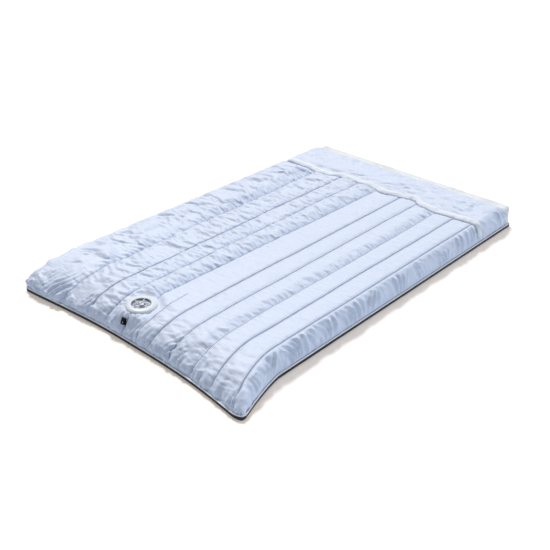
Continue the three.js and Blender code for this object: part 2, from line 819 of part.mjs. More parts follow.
function impeller() {
  const roof = hubTop - hubCrown;
  const hub = turned([
    [shaftRadius + seatGap, roof - hubBossLength],
    [hubBossRadius, roof - hubBossLength],
    [hubBossRadius, roof],
    [hubRadius - hubWall, roof],
    [hubRadius - hubWall, hubBottom],
    [hubRadius, hubBottom],
    [hubRadius, roof],
    [hubRadius - hubCrown / 2, hubTop],
    [shaftRadius + seatGap, hubTop],
  ]);
  const blade = bladeGeometry();
  return join([hub, ...evenAngles(bladeCount).map((angle) => blade.clone().rotateZ(angle))]);
}

const yokeOuter = hubRadius - hubWall - seatGap;
const yokeInner = yokeOuter - yokeThickness;
const magnetOuter = yokeInner - seatGap;
const magnetInner = magnetOuter - magnetThickness;

function rotorSleeve(inner, outer, height) {
  return ring(inner, outer, magnetBottom, magnetBottom + height);
}

function shaftClip() {
  return ring(shaftRadius + seatGap / 2, clipRadius, clipZ, clipZ + clipThickness, smallTurns);
}

function bearing(bottom) {
  return ring(shaftRadius + seatGap, bearingRadius, bottom, bottom + bearingHeight, smallTurns);
}

function motorBoard() {
  const bottom = ductBottom + motorPlateThickness + seatGap;
  return ring(bearingTubeRadius + seatGap, motorBoardRadius, bottom, bottom + motorBoardThickness);
}

function statorCore() {
  const bottom = statorBottom;
  const top = statorBottom + statorHeight;
  const root = statorCoreRadius / 2;
  const tooth = block(toothTip - root, toothWidth, bottom, top).translate((toothTip + root) / 2, 0, 0);
  const shoe = block(toothShoeDepth, toothShoeWidth, bottom, top);
  shoe.translate(toothTip - toothShoeDepth / 2, 0, 0);
  const teeth = evenAngles(toothCount).flatMap((angle) => [
    tooth.clone().rotateZ(angle),
    shoe.clone().rotateZ(angle),
  ]);
  const body = join([disc(statorCoreRadius, bottom, top), ...teeth]);
  return cut(body, [disc(bearingTubeRadius + seatGap, 0, top + cutOverrun)]);
}

// One coil wraps a tooth between the stator's middle and the tooth's shoe.
function coil() {
  const inner = statorCoreRadius + seatGap;
  const outer = toothTip - toothShoeDepth - coilGap;
  const length = outer - inner;
  const hole = toothWidth + 2 * coilGap;
  const width = hole + 2 * coilThickness;
  const bottom = statorBottom - coilGap - coilThickness;
  const top = statorBottom + statorHeight + coilGap + coilThickness;
  const wound = block(length, width, bottom, top);
  const window = block(length + cutOverrun, hole, bottom + coilThickness, top - coilThickness);
  return cut(wound, [window]).translate((inner + outer) / 2, 0, 0);
}

function fanStand() {
  const plateBottom = coreBottom;
  const plateTop = plateBottom + standPlate;
  const plate = ring(standPlateHole, standPlateRadius, plateBottom, plateTop, fineTurns);
  const post = disc(postRadius, plateTop - standPlate / 2, flangeBottom - seatGap, smallTurns);
  const body = join([plate, ...onScrewCircle(post, standScrewAngles)]);
  const holeBottom = flangeTop - screwHeadHeight - standScrewLength - seatGap;
  const hole = disc(screwHoleRadius, holeBottom, flangeTop + cutOverrun, smallTurns);
  return cut(body, onScrewCircle(hole, standScrewAngles));
}

// A pan-head screw with its head down at z 0 and its shank upward.
function screwGeometry(length) {
  const body = turned([
    [0, 0],
    [screwHeadRadius - screwHeadHeight / 3, 0],
    [screwHeadRadius, screwHeadHeight / 2],
    [screwHeadRadius, screwHeadHeight],
    [screwShankRadius, screwHeadHeight],
    [screwShankRadius, screwHeadHeight + length - screwShankRadius],
    [0, screwHeadHeight + length],
  ], smallTurns);
  return cut(body, [disc(screwSocketRadius, -cutOverrun, screwSocketDepth, screwSocketSides)]);
}

function powerPanel() {
  const outline = new THREE.Shape();
  const cornerX = panelWidth / 2 - panelCorner;
  const cornerY = panelLength / 2 - panelCorner;
  const corners = [[cornerX, -cornerY], [cornerX, cornerY], [-cornerX, cornerY], [-cornerX, -cornerY]];
  corners.forEach(([x, y], place) => {
    const start = (Math.PI / 2) * (place - 1);
    outline.absarc(x, y, panelCorner, start, start + Math.PI / 2, false);
  });
  const options = { depth: panelFlange, bevelEnabled: false, curveSegments: cornerSteps };
  const flange = new THREE.ExtrudeGeometry(outline, options).translate(0, 0, seatGap);
  const bodyWidth = panelWidth - 2 * panelBodyInset;
  const bodyLength = panelLength - 2 * panelBodyInset;
  const bodyBack = -panelBodyDepth;
  const barbTop = -(quiltAtPanel + backingThickness + 2 * seatGap);
  const body = join([
    flange,
    block(bodyWidth, bodyLength, bodyBack, seatGap + panelFlange / 2),
    block(bodyWidth + 2 * barbWidth, bodyLength / 2, barbTop - barbHeight, barbTop),
  ]);
  const socketFront = panelFlange + seatGap - socketFloor;
  const pinReach = panelWidth / 2 - rockerPinSeat;
  const pinHole = disc(rockerPinHoleRadius, -pinReach, pinReach, smallTurns);
  pinHole.rotateY(Math.PI / 2).translate(0, rockerPlace, rockerPivotZ);
  return cut(body, [
    block(rockerWindowWidth, rockerWindowLength, -cutOverrun, cutOverrun).translate(0, rockerPlace, 0),
    disc(socketOuter + seatGap, -cutOverrun, socketFront, roundTurns).translate(0, socketPlace, 0),
    disc(socketLip, -cutOverrun, cutOverrun, roundTurns).translate(0, socketPlace, 0),
    pinHole,
  ]);
}

const rockerPivotZ = panelFlange + seatGap - rockerPivotDepth;

// The rocker about its own pivot, level: two faces that meet in a shallow valley across its middle.
function rockerGeometry() {
  const half = rockerLength / 2;
  const high = rockerPivotDepth + rockerProud;
  const outline = new THREE.Shape(
    [
      [-half, -rockerDepth / 2],
      [-half / 2, -rockerDepth],
      [half / 2, -rockerDepth],
      [half, -rockerDepth / 2],
      [half, high],
      [0, high - rockerWaist - half * Math.tan((rockerSwing * Math.PI) / 360)],
      [-half, high],
    ].map(([y, z]) => new THREE.Vector2(y, z)),
  );
  const body = new THREE.ExtrudeGeometry(outline, { depth: rockerWidth, bevelEnabled: false });
  body.rotateX(Math.PI / 2).rotateZ(Math.PI / 2).translate(-rockerWidth / 2, 0, 0);
  const hole = disc(rockerPinHoleRadius, -rockerWidth, rockerWidth, smallTurns).rotateY(Math.PI / 2);
  return cut(body, [hole]);
}

function rockerPin() {
  const half = panelWidth / 2 - rockerPinSeat - seatGap;
  return disc(rockerPinRadius, -half, half, smallTurns).rotateY(Math.PI / 2);
}

const socketTop = panelFlange + seatGap - socketFloor - seatGap;

function socketSleeve() {
  const bottom = socketTop - socketDepth;
  return cut(disc(socketOuter, bottom, socketTop), [
    disc(socketInner, bottom + socketFloor, cutOverrun),
    disc(socketPinRadius + seatGap, bottom + seatGap, cutOverrun, smallTurns),
  ]);
}

function socketPin() {
  const bottom = socketTop - socketDepth + 2 * seatGap;
  return disc(socketPinRadius, bottom, bottom + socketPinLength, smallTurns);
}

function panelBacking() {
  const top = -quiltAtPanel - seatGap;
  const holeWidth = panelWidth - 2 * panelBodyInset + 2 * panelHoleSlack;
  const holeLength = panelLength - 2 * panelBodyInset + 2 * panelHoleSlack;
  const width = panelWidth + 2 * backingRim;
  const length = panelLength + 2 * backingRim;
  const plate = block(width, length, top - backingThickness, top);
  return cut(plate, [block(holeWidth, holeLength, -cutOverrun, cutOverrun)]);
}

function controlBoard() {
  const top = -panelBodyDepth - seatGap;
  const width = panelWidth - 2 * panelBodyInset;
  const length = panelLength - 2 * panelBodyInset;
  return block(width, length, top - boardThickness, top);
}

// The lead runs from the control board through the duct's wall to the motor's board.
function fanLead() {
  const boardBack = -panelBodyDepth - 2 * seatGap - boardThickness;
  const start = new THREE.Vector3(0, 0, boardBack).applyMatrix4(panelFrame.matrix);
  const leave = new THREE.Vector3(0, 0, boardBack - leadRadius * 4).applyMatrix4(panelFrame.matrix);
  const wall = fanFromFoot - ductOuter;
  const end = new THREE.Vector3(fanX, fanFromFoot - motorBoardRadius - seatGap, leadHeight);
  const before = new THREE.Vector3(fanX, wall - leadRadius * 3, leadHeight - leadSag);
  const inWall = new THREE.Vector3(fanX, wall + ductWall / 2, leadHeight);
  const near = end.clone().sub(new THREE.Vector3(0, leadRadius * 4, 0));
  const route = new THREE.CatmullRomCurve3([start, leave, before, inWall, near, end]);
  const section = new THREE.Shape().absarc(0, 0, leadRadius, 0, 2 * Math.PI, false);
  return new THREE.ExtrudeGeometry(section, {
    steps: smallTurns,
    curveSegments: leadSides / 2,
    extrudePath: route,
    bevelEnabled: false,
  });
}

// Finishes
function finish(colour, roughness, metalness = 0) {
  return new THREE.MeshStandardMaterial({ color: colour, roughness, metalness });
}

const quiltCloth = finish(0xd3dff3, 0.55);
const darkCloth = finish(0x2b2d33, 0.9);
const trimCloth = finish(0xf3f6fb, 0.7);
const meshCloth = finish(0xf0f1f3, 0.85);
const whitePlastic = finish(0xeef2f4, 0.35);
const greyPlastic = finish(0x8d9296, 0.5);
const blackPlastic = finish(0x17181a, 0.4);
const steel = finish(0xb9bcc0, 0.3, 1);
const copper = finish(0xb8733a, 0.35, 1);
const ferrite = finish(0x3b3c3f, 0.6);
const board = finish(0x1f5a3c, 0.6);

const root = new THREE.Group();

function addPiece(parent, name, geometry, material) {
  const mesh = new THREE.Mesh(geometry, material);
  mesh.name = name;
  parent.add(mesh);
  return mesh;
}

addPiece(root, "quilted_cover", quiltedCover(), quiltCloth);
addPiece(root, "underside_sheet", undersideSheet(), darkCloth);
addPiece(root, "hem_piping", hemPiping(), trimCloth);
addPiece(root, "head_seam_tape", headSeamTape(), trimCloth);
addPiece(root, "mesh_core", meshCore(), meshCloth);

const fan = new THREE.Group();
fan.position.set(fanX, fanFromFoot, 0);
root.add(fan);
addPiece(fan, "fan_bezel", fanBezel(), whitePlastic);
addPiece(fan, "fan_grille", fanGrille(), whitePlastic);
addPiece(fan, "fan_housing", fanHousing(), greyPlastic);
addPiece(fan, "fan_stand", fanStand(), greyPlastic);
addPiece(fan, "motor_board", motorBoard(), board);
addPiece(fan, "lower_bearing", bearing(lowerBearingZ), steel);
addPiece(fan, "upper_bearing", bearing(upperBearingZ), steel);
addPiece(fan, "stator_core", statorCore(), steel);
evenAngles(toothCount).forEach((angle, place) => {
  addPiece(fan, `stator_coil_${place + 1}`, coil(), copper).rotation.z = angle;
});
bezelScrewAngles.forEach((angle, place) => {
  const length = fanSeatTop + bezelScrewBite - flangeBottom + seatGap;
  const screw = addPiece(fan, `bezel_screw_${place + 1}`, screwGeometry(length), steel);
  screw.position.set(
    screwCircle * Math.cos(angle),
    screwCircle * Math.sin(angle),
    flangeBottom - seatGap - screwHeadHeight,
  );
});
standScrewAngles.forEach((angle, place) => {
  const screw = addPiece(fan, `stand_screw_${place + 1}`, screwGeometry(standScrewLength), steel);
  screw.rotation.x = Math.PI;
  screw.position.set(screwCircle * Math.cos(angle), screwCircle * Math.sin(angle), flangeTop - seatGap);
});

const rotor = new THREE.Group();
fan.add(rotor);
addPiece(rotor, "impeller", impeller(), greyPlastic);
addPiece(rotor, "rotor_yoke", rotorSleeve(yokeInner, yokeOuter, yokeHeight), steel);
addPiece(rotor, "rotor_magnet", rotorSleeve(magnetInner, magnetOuter, magnetHeight), ferrite);
addPiece(rotor, "motor_shaft", disc(shaftRadius, shaftBottom, hubTop - shaftTopGap, smallTurns), steel);
addPiece(rotor, "shaft_clip", shaftClip(), steel);

const panel = new THREE.Group();
panel.position.copy(panelFrame.origin);
panel.quaternion.copy(panelFrame.turn);
root.add(panel);
addPiece(panel, "power_panel", powerPanel(), blackPlastic);
addPiece(panel, "panel_backing", panelBacking(), greyPlastic);
addPiece(panel, "control_board", controlBoard(), board);
addPiece(panel, "socket_sleeve", socketSleeve().translate(0, socketPlace, 0), steel);
addPiece(panel, "socket_pin", socketPin().translate(0, socketPlace, 0), steel);
addPiece(panel, "rocker_pin", rockerPin().translate(0, rockerPlace, rockerPivotZ), steel);
const rocker = addPiece(panel, "switch_rocker", rockerGeometry(), blackPlastic);
rocker.position.set(0, rockerPlace, rockerPivotZ);
rocker.rotation.x = ((rockerSwing / 2) * Math.PI) / 180;
addPiece(root, "fan_lead", fanLead(), blackPlastic);

// The origin is at the middle of the pad's underside.
const bounds = new THREE.Box3().setFromObject(root);
const middle = bounds.getCenter(new THREE.Vector3());
root.position.set(-middle.x, -middle.y, -bounds.min.z);

export default root;
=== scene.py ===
"""Looks of a bed pad that a fan cools: puckered quilting, piping, tape, open mesh core and fan."""

import math
from contextlib import contextmanager

import bmesh
import bpy
import numpy as np
from mathutils import Matrix, Vector


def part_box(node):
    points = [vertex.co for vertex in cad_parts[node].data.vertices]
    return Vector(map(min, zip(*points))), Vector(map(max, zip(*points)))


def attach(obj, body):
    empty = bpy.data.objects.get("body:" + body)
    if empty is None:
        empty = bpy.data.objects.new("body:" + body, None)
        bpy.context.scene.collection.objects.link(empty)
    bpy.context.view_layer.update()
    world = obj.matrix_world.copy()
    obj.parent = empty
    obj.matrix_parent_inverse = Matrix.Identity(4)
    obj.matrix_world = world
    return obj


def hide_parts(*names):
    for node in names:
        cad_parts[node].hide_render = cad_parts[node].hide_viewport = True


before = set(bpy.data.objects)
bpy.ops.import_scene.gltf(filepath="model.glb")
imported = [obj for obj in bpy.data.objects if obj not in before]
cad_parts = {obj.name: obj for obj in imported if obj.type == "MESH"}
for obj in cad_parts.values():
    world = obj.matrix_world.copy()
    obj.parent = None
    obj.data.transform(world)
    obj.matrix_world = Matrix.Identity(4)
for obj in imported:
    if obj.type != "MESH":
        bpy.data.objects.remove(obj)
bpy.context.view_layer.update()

# Sizes are in millimetres, x from the pad's middle line and y from the foot edge's corners.
MM = 0.001

# Plan and heights of the cover.
HEM_HALF_WIDTH = 445.3
COVER_LENGTH = 1405
SEAM_HEIGHT = 83
HEM_HEIGHT = 14
CORNER_RADIUS = 30
RIGHT_CORNER_FLARE = 58
LEFT_CORNER_FLARE = 8
FLARE_REACH = 200
FOOT_PULL_IN = 30
FOOT_FALL = 180
RIGHT_SIDE_FALL = 28
LEFT_SIDE_FALL = 30
HEAD_SIDE_REACH = 40
HEAD_CROWN = 3.0
HEAD_DROP = 3.5
HEAD_DROP_REACH = 12
RIGHT_EDGE = HEM_HALF_WIDTH - RIGHT_SIDE_FALL
LEFT_EDGE = HEM_HALF_WIDTH - LEFT_SIDE_FALL
MIDDLE_SKEW_ROWS = (60, 200, 1215, 1300)
MIDDLE_SKEW = (0, -8, 10, 0)

# Seams, numbered from 1 on the left: places as shares of the half width, depths as shares of
# the deepest valley.
# A bank is the long slope on a seam's left; each has its seam, a depth and a reach.
SEAM_PLACES = (-0.596, -0.356, -0.187, 0, 0.253, 0.422, 0.616, 0.778)
SEAM_DEPTHS = (1, 0.3, 0.45, 1, 0.35, 0.6, 1, 0.6)
EDGE_SEAM_DEPTH = 0.7
DEEPEST_VALLEY = 5
MIDDLE_SEAM = 4
RIGHT_BANKED_SEAM = 7
PANEL_CROWN = 3.6
PANEL_EDGE = 8
FLAT_PANEL_SHARE = 0.6
BANKS = ((1, 8, 26), (3, 1.5, 14), (4, 7.5, 22), (6, 1.2, 16), (7, 5.5, 18))
BANK_WITH_CREST = 5
DART_PLACE = 0.127 * HEM_HALF_WIDTH
DART_LENGTH = 240
DART_DEPTH = 3.5
CROSS_SEAM = COVER_LENGTH - 185
CROSS_VALLEY = 4.0
CROSS_VALLEY_WIDTH = 13
CROSS_SEAM_PLACES = (
    -445, -300, -260, -200, -176, -140, -10, 16, 40,
    100, 150, 168, 184, 205, 232, 270, 310, 445,
)
CROSS_SEAM_ROWS = (
    1213, 1208, 1201, 1208, 1226, 1231, 1228, 1218, 1218,
    1231, 1242, 1243, 1230, 1220, 1215, 1212, 1215, 1224,
)

# The cover's grid of points.
COLUMN_SPACING = 6.0
FINE_COLUMN_SPACING = 4.3
ROW_SPACING = 3.6
WALL_STEPS = 15
FOOT_STEPS = 46
SEAM_GROOVE = 1.6

# The cloth simulation: its spare cloth as shares, how far it may move a point, how much shows.
SPARE_ACROSS = 0.02
SPARE_ALONG = 0.085
CLOTH_FRAMES = 16
CLOTH_STIFFNESS = 80
CLOTH_BENDING = 0.45
CLOTH_PRESSURE = 3.0
CLOTH_MASS = 0.3
CLOTH_QUALITY = 4
CLOTH_DRIFT = 3
CLOTH_INWARD = 4.5
CLOTH_OUTWARD = 8
CODE_FOLDS = 0.75
FULL_PUCKER = 1.3
FLAT_PUCKER = 0.42
FOOT_PUCKER = 1.2
HEAD_PUCKER = 0.8

# Folds that are laid over the simulated cloth.
WALL_PLEAT = 12
LEFT_WALL_SHARE = 0.2
WALL_SPAN = 75
WALL_PITCH = 25
SMALL_WALL_PITCH = 13
HEM_PLEAT = 10
HEM_PITCH = 16
HEAD_CREASE = 3.5
GROOVE_DEPTH = 2.2
GROOVE_WIDTH = 3
TUFTS = ((-66, 62), (57, 70))
TUFT_DEPTH = 4
TUFT_REACH = 20
TUFT_RAYS = 7

# Trim.
STITCH_LIFT = 0.6
STITCH_START = 8
PATH_SPACING = 2.5
CREST_OFFSET = 3.4
TAPE_START = 3
TAPE_WIDTH = 24
TAPE_THICKNESS = 1.2
PIPING_RADIUS = 2.2
PIPING_GAP = 0.3

# Rings of the underside, each by how far it lies inside the hem line and how high, and rows of the
# cover's lip at the head, each by how deep it lies under the skin and how far back. The lower rings
# bulge out past the hem, so that the near-black sheet shows under the piping as painted shadow of
# the gap there.
UNDERSIDE_THICKNESS = 1.2
UNDERSIDE_LEVELS = (
    (0.2, 13.6), (-2.4, 9.4), (-3.6, 5.2), (-3.4, 1.9), (-1.6, 0.2), (5, 0.05), (16, 0.05),
)
COVER_LIP = ((1.2, -0.6), (3.0, -0.4), (4.2, 1.2), (4.6, 5), (4.8, 22))

# The mesh core.
CORE_END = COVER_LENGTH + 60
CORE_HALF_WIDTH = HEM_HALF_WIDTH - 9.7
CORE_LOW = 2.4
CORE_HIGH = 72.0
CORE_CORNER = 16
CORE_SIDE_ROUND = 15
CORE_END_ROUND = 7
CORE_UNDER_ROUND = 5
CORE_COVERED_ROWS = (70, 100, 165, 230, 400, 700, 1000, 1250, 1380)
CORE_SLOPE_ROWS = (62, 100, 165, 230)
CORE_SLOPE_HEIGHTS = (28, 50, 64, CORE_HIGH)

# Fan and panel.
FAN_PLACE = (-12, 113)
FAN_SEAT_HEIGHT = 76
FAN_SEAT_RADIUS = 49
FAN_SEAT_EASE = 31
FAN_CLEAR = 54
PANEL_HALF_WIDTH = 12
PANEL_TOP = 72
RING_RADIUS = 47
RING_RISE = 6.8
RING_INWARD = 13.92
RING_OPENING = 29
RING_DEPTH = 8
GRILLE_HUB = 8.5
SHARP_ANGLE = 38
BEVEL_ANGLE = 32

# The camera: its axes in the pad's frame, its place, and its focal length in the picture's pixels.
CAMERA_RIGHT = (0.73964, 0.67296, 0.00797)
CAMERA_DOWN = (0.34210, -0.36575, -0.86556)
CAMERA_FORWARD = (-0.57957, 0.64292, -0.50074)
CAMERA_PLACE = (1681.4, -1188.4, 1397.2)
FOCAL_PIXELS = 856.5
PICTURE_PIXELS = 550
SENSOR_WIDTH = 36
FAR_CLIP = 50

# Floor and light; a lamp has a direction, a power, an apparent width in degrees and a colour.
FLOOR_REACH = 12
FLOOR_GLOW = 0.24
FILL_STRENGTH = 0.28
LAMP_DISTANCE = 3
LAMPS = (
    ("key_lamp", (-0.48, 0.33, 0.81), 2.6, 14, (1, 0.965, 0.93)),
    ("rim_lamp", (0.50, 0.80, 0.33), 0.95, 10, (0.88, 0.94, 1)),
    ("side_lamp", (0.91, -0.28, 0.31), 0.25, 10, (0.88, 0.94, 1)),
)

bezel_low, bezel_high = (np.array(corner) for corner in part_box("fan_bezel"))
FAN_AXIS = (bezel_low + bezel_high)[:2] / 2
SHIFT = np.array([FAN_AXIS[0] / MM - FAN_PLACE[0], FAN_AXIS[1] / MM - FAN_PLACE[1], 0])


# Nodes.

def add_node(tree, kind, values=None, **settings):
    """A new node with its settings and the plain values of its sockets."""
    node = tree.nodes.new(kind)
    for name, value in settings.items():
        setattr(node, name, value)
    for label, value in (values or {}).items():
        node.inputs[label].default_value = value
    return node


def join(tree, *pairs):
    """Links each output to its input."""
    for output, socket in pairs:
        tree.links.new(output, socket)


def new_material(name):
    material = bpy.data.materials.new(name)
    material.use_nodes = True
    material.node_tree.nodes.clear()
    return material


# Camera, floor and light.

def place_camera():
    """The photograph's view, fitted to the pad's hems, seams and core."""
    right, down, forward = Vector(CAMERA_RIGHT), Vector(CAMERA_DOWN), Vector(CAMERA_FORWARD)
    place = Vector(CAMERA_PLACE) + Vector(SHIFT)
    turn = Matrix((right, -down, -forward)).transposed()
    data = bpy.data.cameras.new("photo_camera")
    data.sensor_width = SENSOR_WIDTH
    data.lens = FOCAL_PIXELS / PICTURE_PIXELS * SENSOR_WIDTH
    data.clip_end = FAR_CLIP
    camera = bpy.data.objects.new("photo_camera", data)
    camera.matrix_world = Matrix.Translation(place * MM) @ turn.to_4x4()
    bpy.context.collection.objects.link(camera)
    bpy.context.scene.camera = camera


def seen_directly(tree):
    """1 where the eye, a glossy surface or a clear one looks at the surroundings, else 0."""
    path = add_node(tree, "ShaderNodeLightPath")
    level = path.outputs["Is Camera Ray"]
    for label in ("Is Glossy Ray", "Is Transmission Ray"):
        either = add_node(tree, "ShaderNodeMath", operation="MAXIMUM")
        join(tree, (level, either.inputs[0]), (path.outputs[label], either.inputs[1]))
        level = either.outputs[0]
    return level


def lay_floor():
    """A pale floor that shows white where nothing shades it."""
    mesh = bpy.data.meshes.new("pale_floor")
    corners = [(x * FLOOR_REACH, y * FLOOR_REACH, 0) for x, y in ((-1, -1), (1, -1), (1, 1), (-1, 1))]
    mesh.from_pydata(corners, [], [(0, 1, 2, 3)])
    floor = bpy.data.objects.new("pale_floor", mesh)
    bpy.context.collection.objects.link(floor)
    material = new_material("pale_floor")
    tree = material.node_tree
    tints = {"A": (0.80, 0.86, 0.95, 1), "B": (1.0, 0.95, 0.90, 1)}
    tint = add_node(tree, "ShaderNodeMix", tints, data_type="RGBA")
    plain = add_node(tree, "ShaderNodeBsdfDiffuse")
    level = add_node(tree, "ShaderNodeMath", {1: FLOOR_GLOW}, operation="MULTIPLY")
    glow = add_node(tree, "ShaderNodeEmission", {"Color": (1.0, 0.83, 0.67, 1)})
    both = add_node(tree, "ShaderNodeAddShader")
    output = add_node(tree, "ShaderNodeOutputMaterial")
    seen = seen_directly(tree)
    join(
        tree,
        (seen, tint.inputs["Factor"]),
        (tint.outputs["Result"], plain.inputs["Color"]),
        (seen, level.inputs[0]),
        (level.outputs[0], glow.inputs["Strength"]),
        (plain.outputs[0], both.inputs[0]),
        (glow.outputs[0], both.inputs[1]),
        (both.outputs[0], output.inputs["Surface"]),
    )
    mesh.materials.append(material)


def light_world():
    """Even soft light from all round; what is seen of it directly is plain white."""
    world = bpy.data.worlds.new("studio")
    bpy.context.scene.world = world
    world.use_nodes = True
    tree = world.node_tree
    tree.nodes.clear()
    fill_values = {"Color": (0.82, 0.90, 1, 1), "Strength": FILL_STRENGTH}
    fill = add_node(tree, "ShaderNodeBackground", fill_values)
    white = add_node(tree, "ShaderNodeBackground", {"Color": (1, 1, 1, 1)})
    mix = add_node(tree, "ShaderNodeMixShader")
    output = add_node(tree, "ShaderNodeOutputWorld")
    join(
        tree,
        (seen_directly(tree), mix.inputs["Fac"]),
        (fill.outputs[0], mix.inputs[1]),
        (white.outputs[0], mix.inputs[2]),
        (mix.outputs[0], output.inputs["Surface"]),
    )


def hang_lamp(name, toward, power, width, colour):
    """A far lamp that shines from a direction; width is how wide it looks, in degrees."""
    data = bpy.data.lights.new(name, "SUN")
    data.energy = power
    data.angle = math.radians(width)
    data.color = colour
    lamp = bpy.data.objects.new(name, data)
    lamp.location = Vector(toward) * LAMP_DISTANCE
    lamp.rotation_euler = (-Vector(toward)).to_track_quat("-Z", "Y").to_euler()
    bpy.context.collection.objects.link(lamp)


# Effects that more than one material uses.

def add_group(name, inputs, outputs):
    """An empty shader node group with named sockets."""
    tree = bpy.data.node_groups.new(name, "ShaderNodeTree")
    for label, value in inputs.items():
        socket = tree.interface.new_socket(label, in_out="INPUT", socket_type="NodeSocketFloat")
        socket.default_value = value
    for label in outputs:
        tree.interface.new_socket(label, in_out="OUTPUT", socket_type="NodeSocketFloat")
    return tree, add_node(tree, "NodeGroupInput"), add_node(tree, "NodeGroupOutput")


def sized_place(tree, operation, size):
    """Object coordinates in millimetres, multiplied or divided by a size from the group's input."""
    factor = add_node(tree, "ShaderNodeMath", {0: 1 / MM}, operation=operation)
    place = add_node(tree, "ShaderNodeTexCoord")
    sized = add_node(tree, "ShaderNodeVectorMath", operation="SCALE")
    join(
        tree,
        (size, factor.inputs[1]),
        (place.outputs["Object"], sized.inputs[0]),
        (factor.outputs[0], sized.inputs["Scale"]),
    )
    return sized.outputs[0]


def cloth_weave_group():
    """Fine plain weave with slubs: puts out a height and a shade that changes over the cloth."""
    tree, start, end = add_group("cloth_weave", {"Threads": 0.8, "Slub": 0.5}, ("Height", "Shade"))
    sized = sized_place(tree, "MULTIPLY", start.outputs["Threads"])
    weave = add_node(tree, "ShaderNodeMath", operation="MULTIPLY")
    wave_values = {"Scale": 0.31, "Distortion": 0.6, "Detail": 1}
    for place, direction in enumerate(("X", "Y")):
        wave = add_node(
            tree, "ShaderNodeTexWave", wave_values, wave_type="BANDS", bands_direction=direction
        )
        join(tree, (sized, wave.inputs["Vector"]), (wave.outputs["Fac"], weave.inputs[place]))
    slub = add_node(tree, "ShaderNodeTexNoise", {"Scale": 0.11, "Detail": 4})
    height = add_node(tree, "ShaderNodeMath", operation="MULTIPLY_ADD")
    join(
        tree,
        (sized, slub.inputs["Vector"]),
        (slub.outputs["Fac"], height.inputs[0]),
        (start.outputs["Slub"], height.inputs[1]),
        (weave.outputs[0], height.inputs[2]),
        (height.outputs[0], end.inputs["Height"]),
        (slub.outputs["Fac"], end.inputs["Shade"]),
    )
    return tree


def cloth_creases_group():
    """Fine sharp creases that run mostly across the pad: puts out a height."""
    tree, start, end = add_group("cloth_creases", {"Length": 40.0, "Pitch": 14.0}, ("Height",))
    place = add_node(tree, "ShaderNodeTexCoord")
    parts = add_node(tree, "ShaderNodeSeparateXYZ")
    join(tree, (place.outputs["Object"], parts.inputs[0]))
    joined = add_node(tree, "ShaderNodeCombineXYZ")
    for axis, label in (("X", "Length"), ("Y", "Pitch"), ("Z", "Pitch")):
        factor = add_node(tree, "ShaderNodeMath", {0: 1 / MM}, operation="DIVIDE")
        product = add_node(tree, "ShaderNodeMath", operation="MULTIPLY")
        join(
            tree,
            (start.outputs[label], factor.inputs[1]),
            (parts.outputs[axis], product.inputs[0]),
            (factor.outputs[0], product.inputs[1]),
            (product.outputs[0], joined.inputs[axis]),
        )
    lean_angle = {"Angle": math.radians(14)}
    lean = add_node(tree, "ShaderNodeVectorRotate", lean_angle, rotation_type="Z_AXIS")
    folds = add_node(
        tree,
        "ShaderNodeTexNoise",
        {"Scale": 0.9, "Detail": 2, "Roughness": 0.4, "Distortion": 0.4},
        noise_type="RIDGED_MULTIFRACTAL",
    )
    join(
        tree,
        (joined.outputs[0], lean.inputs["Vector"]),
        (lean.outputs[0], folds.inputs["Vector"]),
        (folds.outputs["Fac"], end.inputs["Height"]),
    )
    return tree


def hex_net_group():
    """An open knit of small six-sided holes: a height, and a mask that is 1 on the threads."""
    tree, start, end = add_group("hex_net", {"Hole": 4.0, "Thread": 0.2}, ("Height", "Threads"))
    sized = sized_place(tree, "DIVIDE", start.outputs["Hole"])
    cells = add_node(
        tree, "ShaderNodeTexVoronoi", {"Scale": 1, "Randomness": 0.35}, feature="DISTANCE_TO_EDGE"
    )
    ramp_values = {"From Min": 0, "To Min": 1, "To Max": 0}
    ramp = add_node(tree, "ShaderNodeMapRange", ramp_values, interpolation_type="SMOOTHSTEP")
    join(
        tree,
        (sized, cells.inputs["Vector"]),
        (start.outputs["Thread"], ramp.inputs["From Max"]),
        (cells.outputs["Distance"], ramp.inputs["Value"]),
        (ramp.outputs[0], end.inputs["Height"]),
        (ramp.outputs[0], end.inputs["Threads"]),
    )
    return tree


def grain_group():
    """Fine moulded grain or brushing with a slow change of shade."""
    tree, start, end = add_group("moulded_grain", {"Grain": 1.5}, ("Height", "Shade"))
    sized = sized_place(tree, "MULTIPLY", start.outputs["Grain"])
    fine = add_node(tree, "ShaderNodeTexNoise", {"Scale": 1, "Detail": 2})
    slow = add_node(tree, "ShaderNodeTexNoise", {"Scale": 0.04})
    join(
        tree,
        (sized, fine.inputs["Vector"]),
        (sized, slow.inputs["Vector"]),
        (fine.outputs["Fac"], end.inputs["Height"]),
        (slow.outputs["Fac"], end.inputs["Shade"]),
    )
    return tree


CLOTH_WEAVE = cloth_weave_group()
CLOTH_CREASES = cloth_creases_group()
HEX_NET = hex_net_group()
MOULDED_GRAIN = grain_group()


# Materials.

def place_group(tree, group, values=None):
    """A node that stands for a shared effect, with this material's own values."""
    return add_node(tree, "ShaderNodeGroup", values, node_tree=group)


def blend_colours(tree, factor, dark, light):
    """A colour that changes over the surface from dark to light."""
    mix = add_node(tree, "ShaderNodeMix", {"A": (*dark, 1), "B": (*light, 1)}, data_type="RGBA")
    join(tree, (factor, mix.inputs["Factor"]))
    return mix.outputs["Result"]


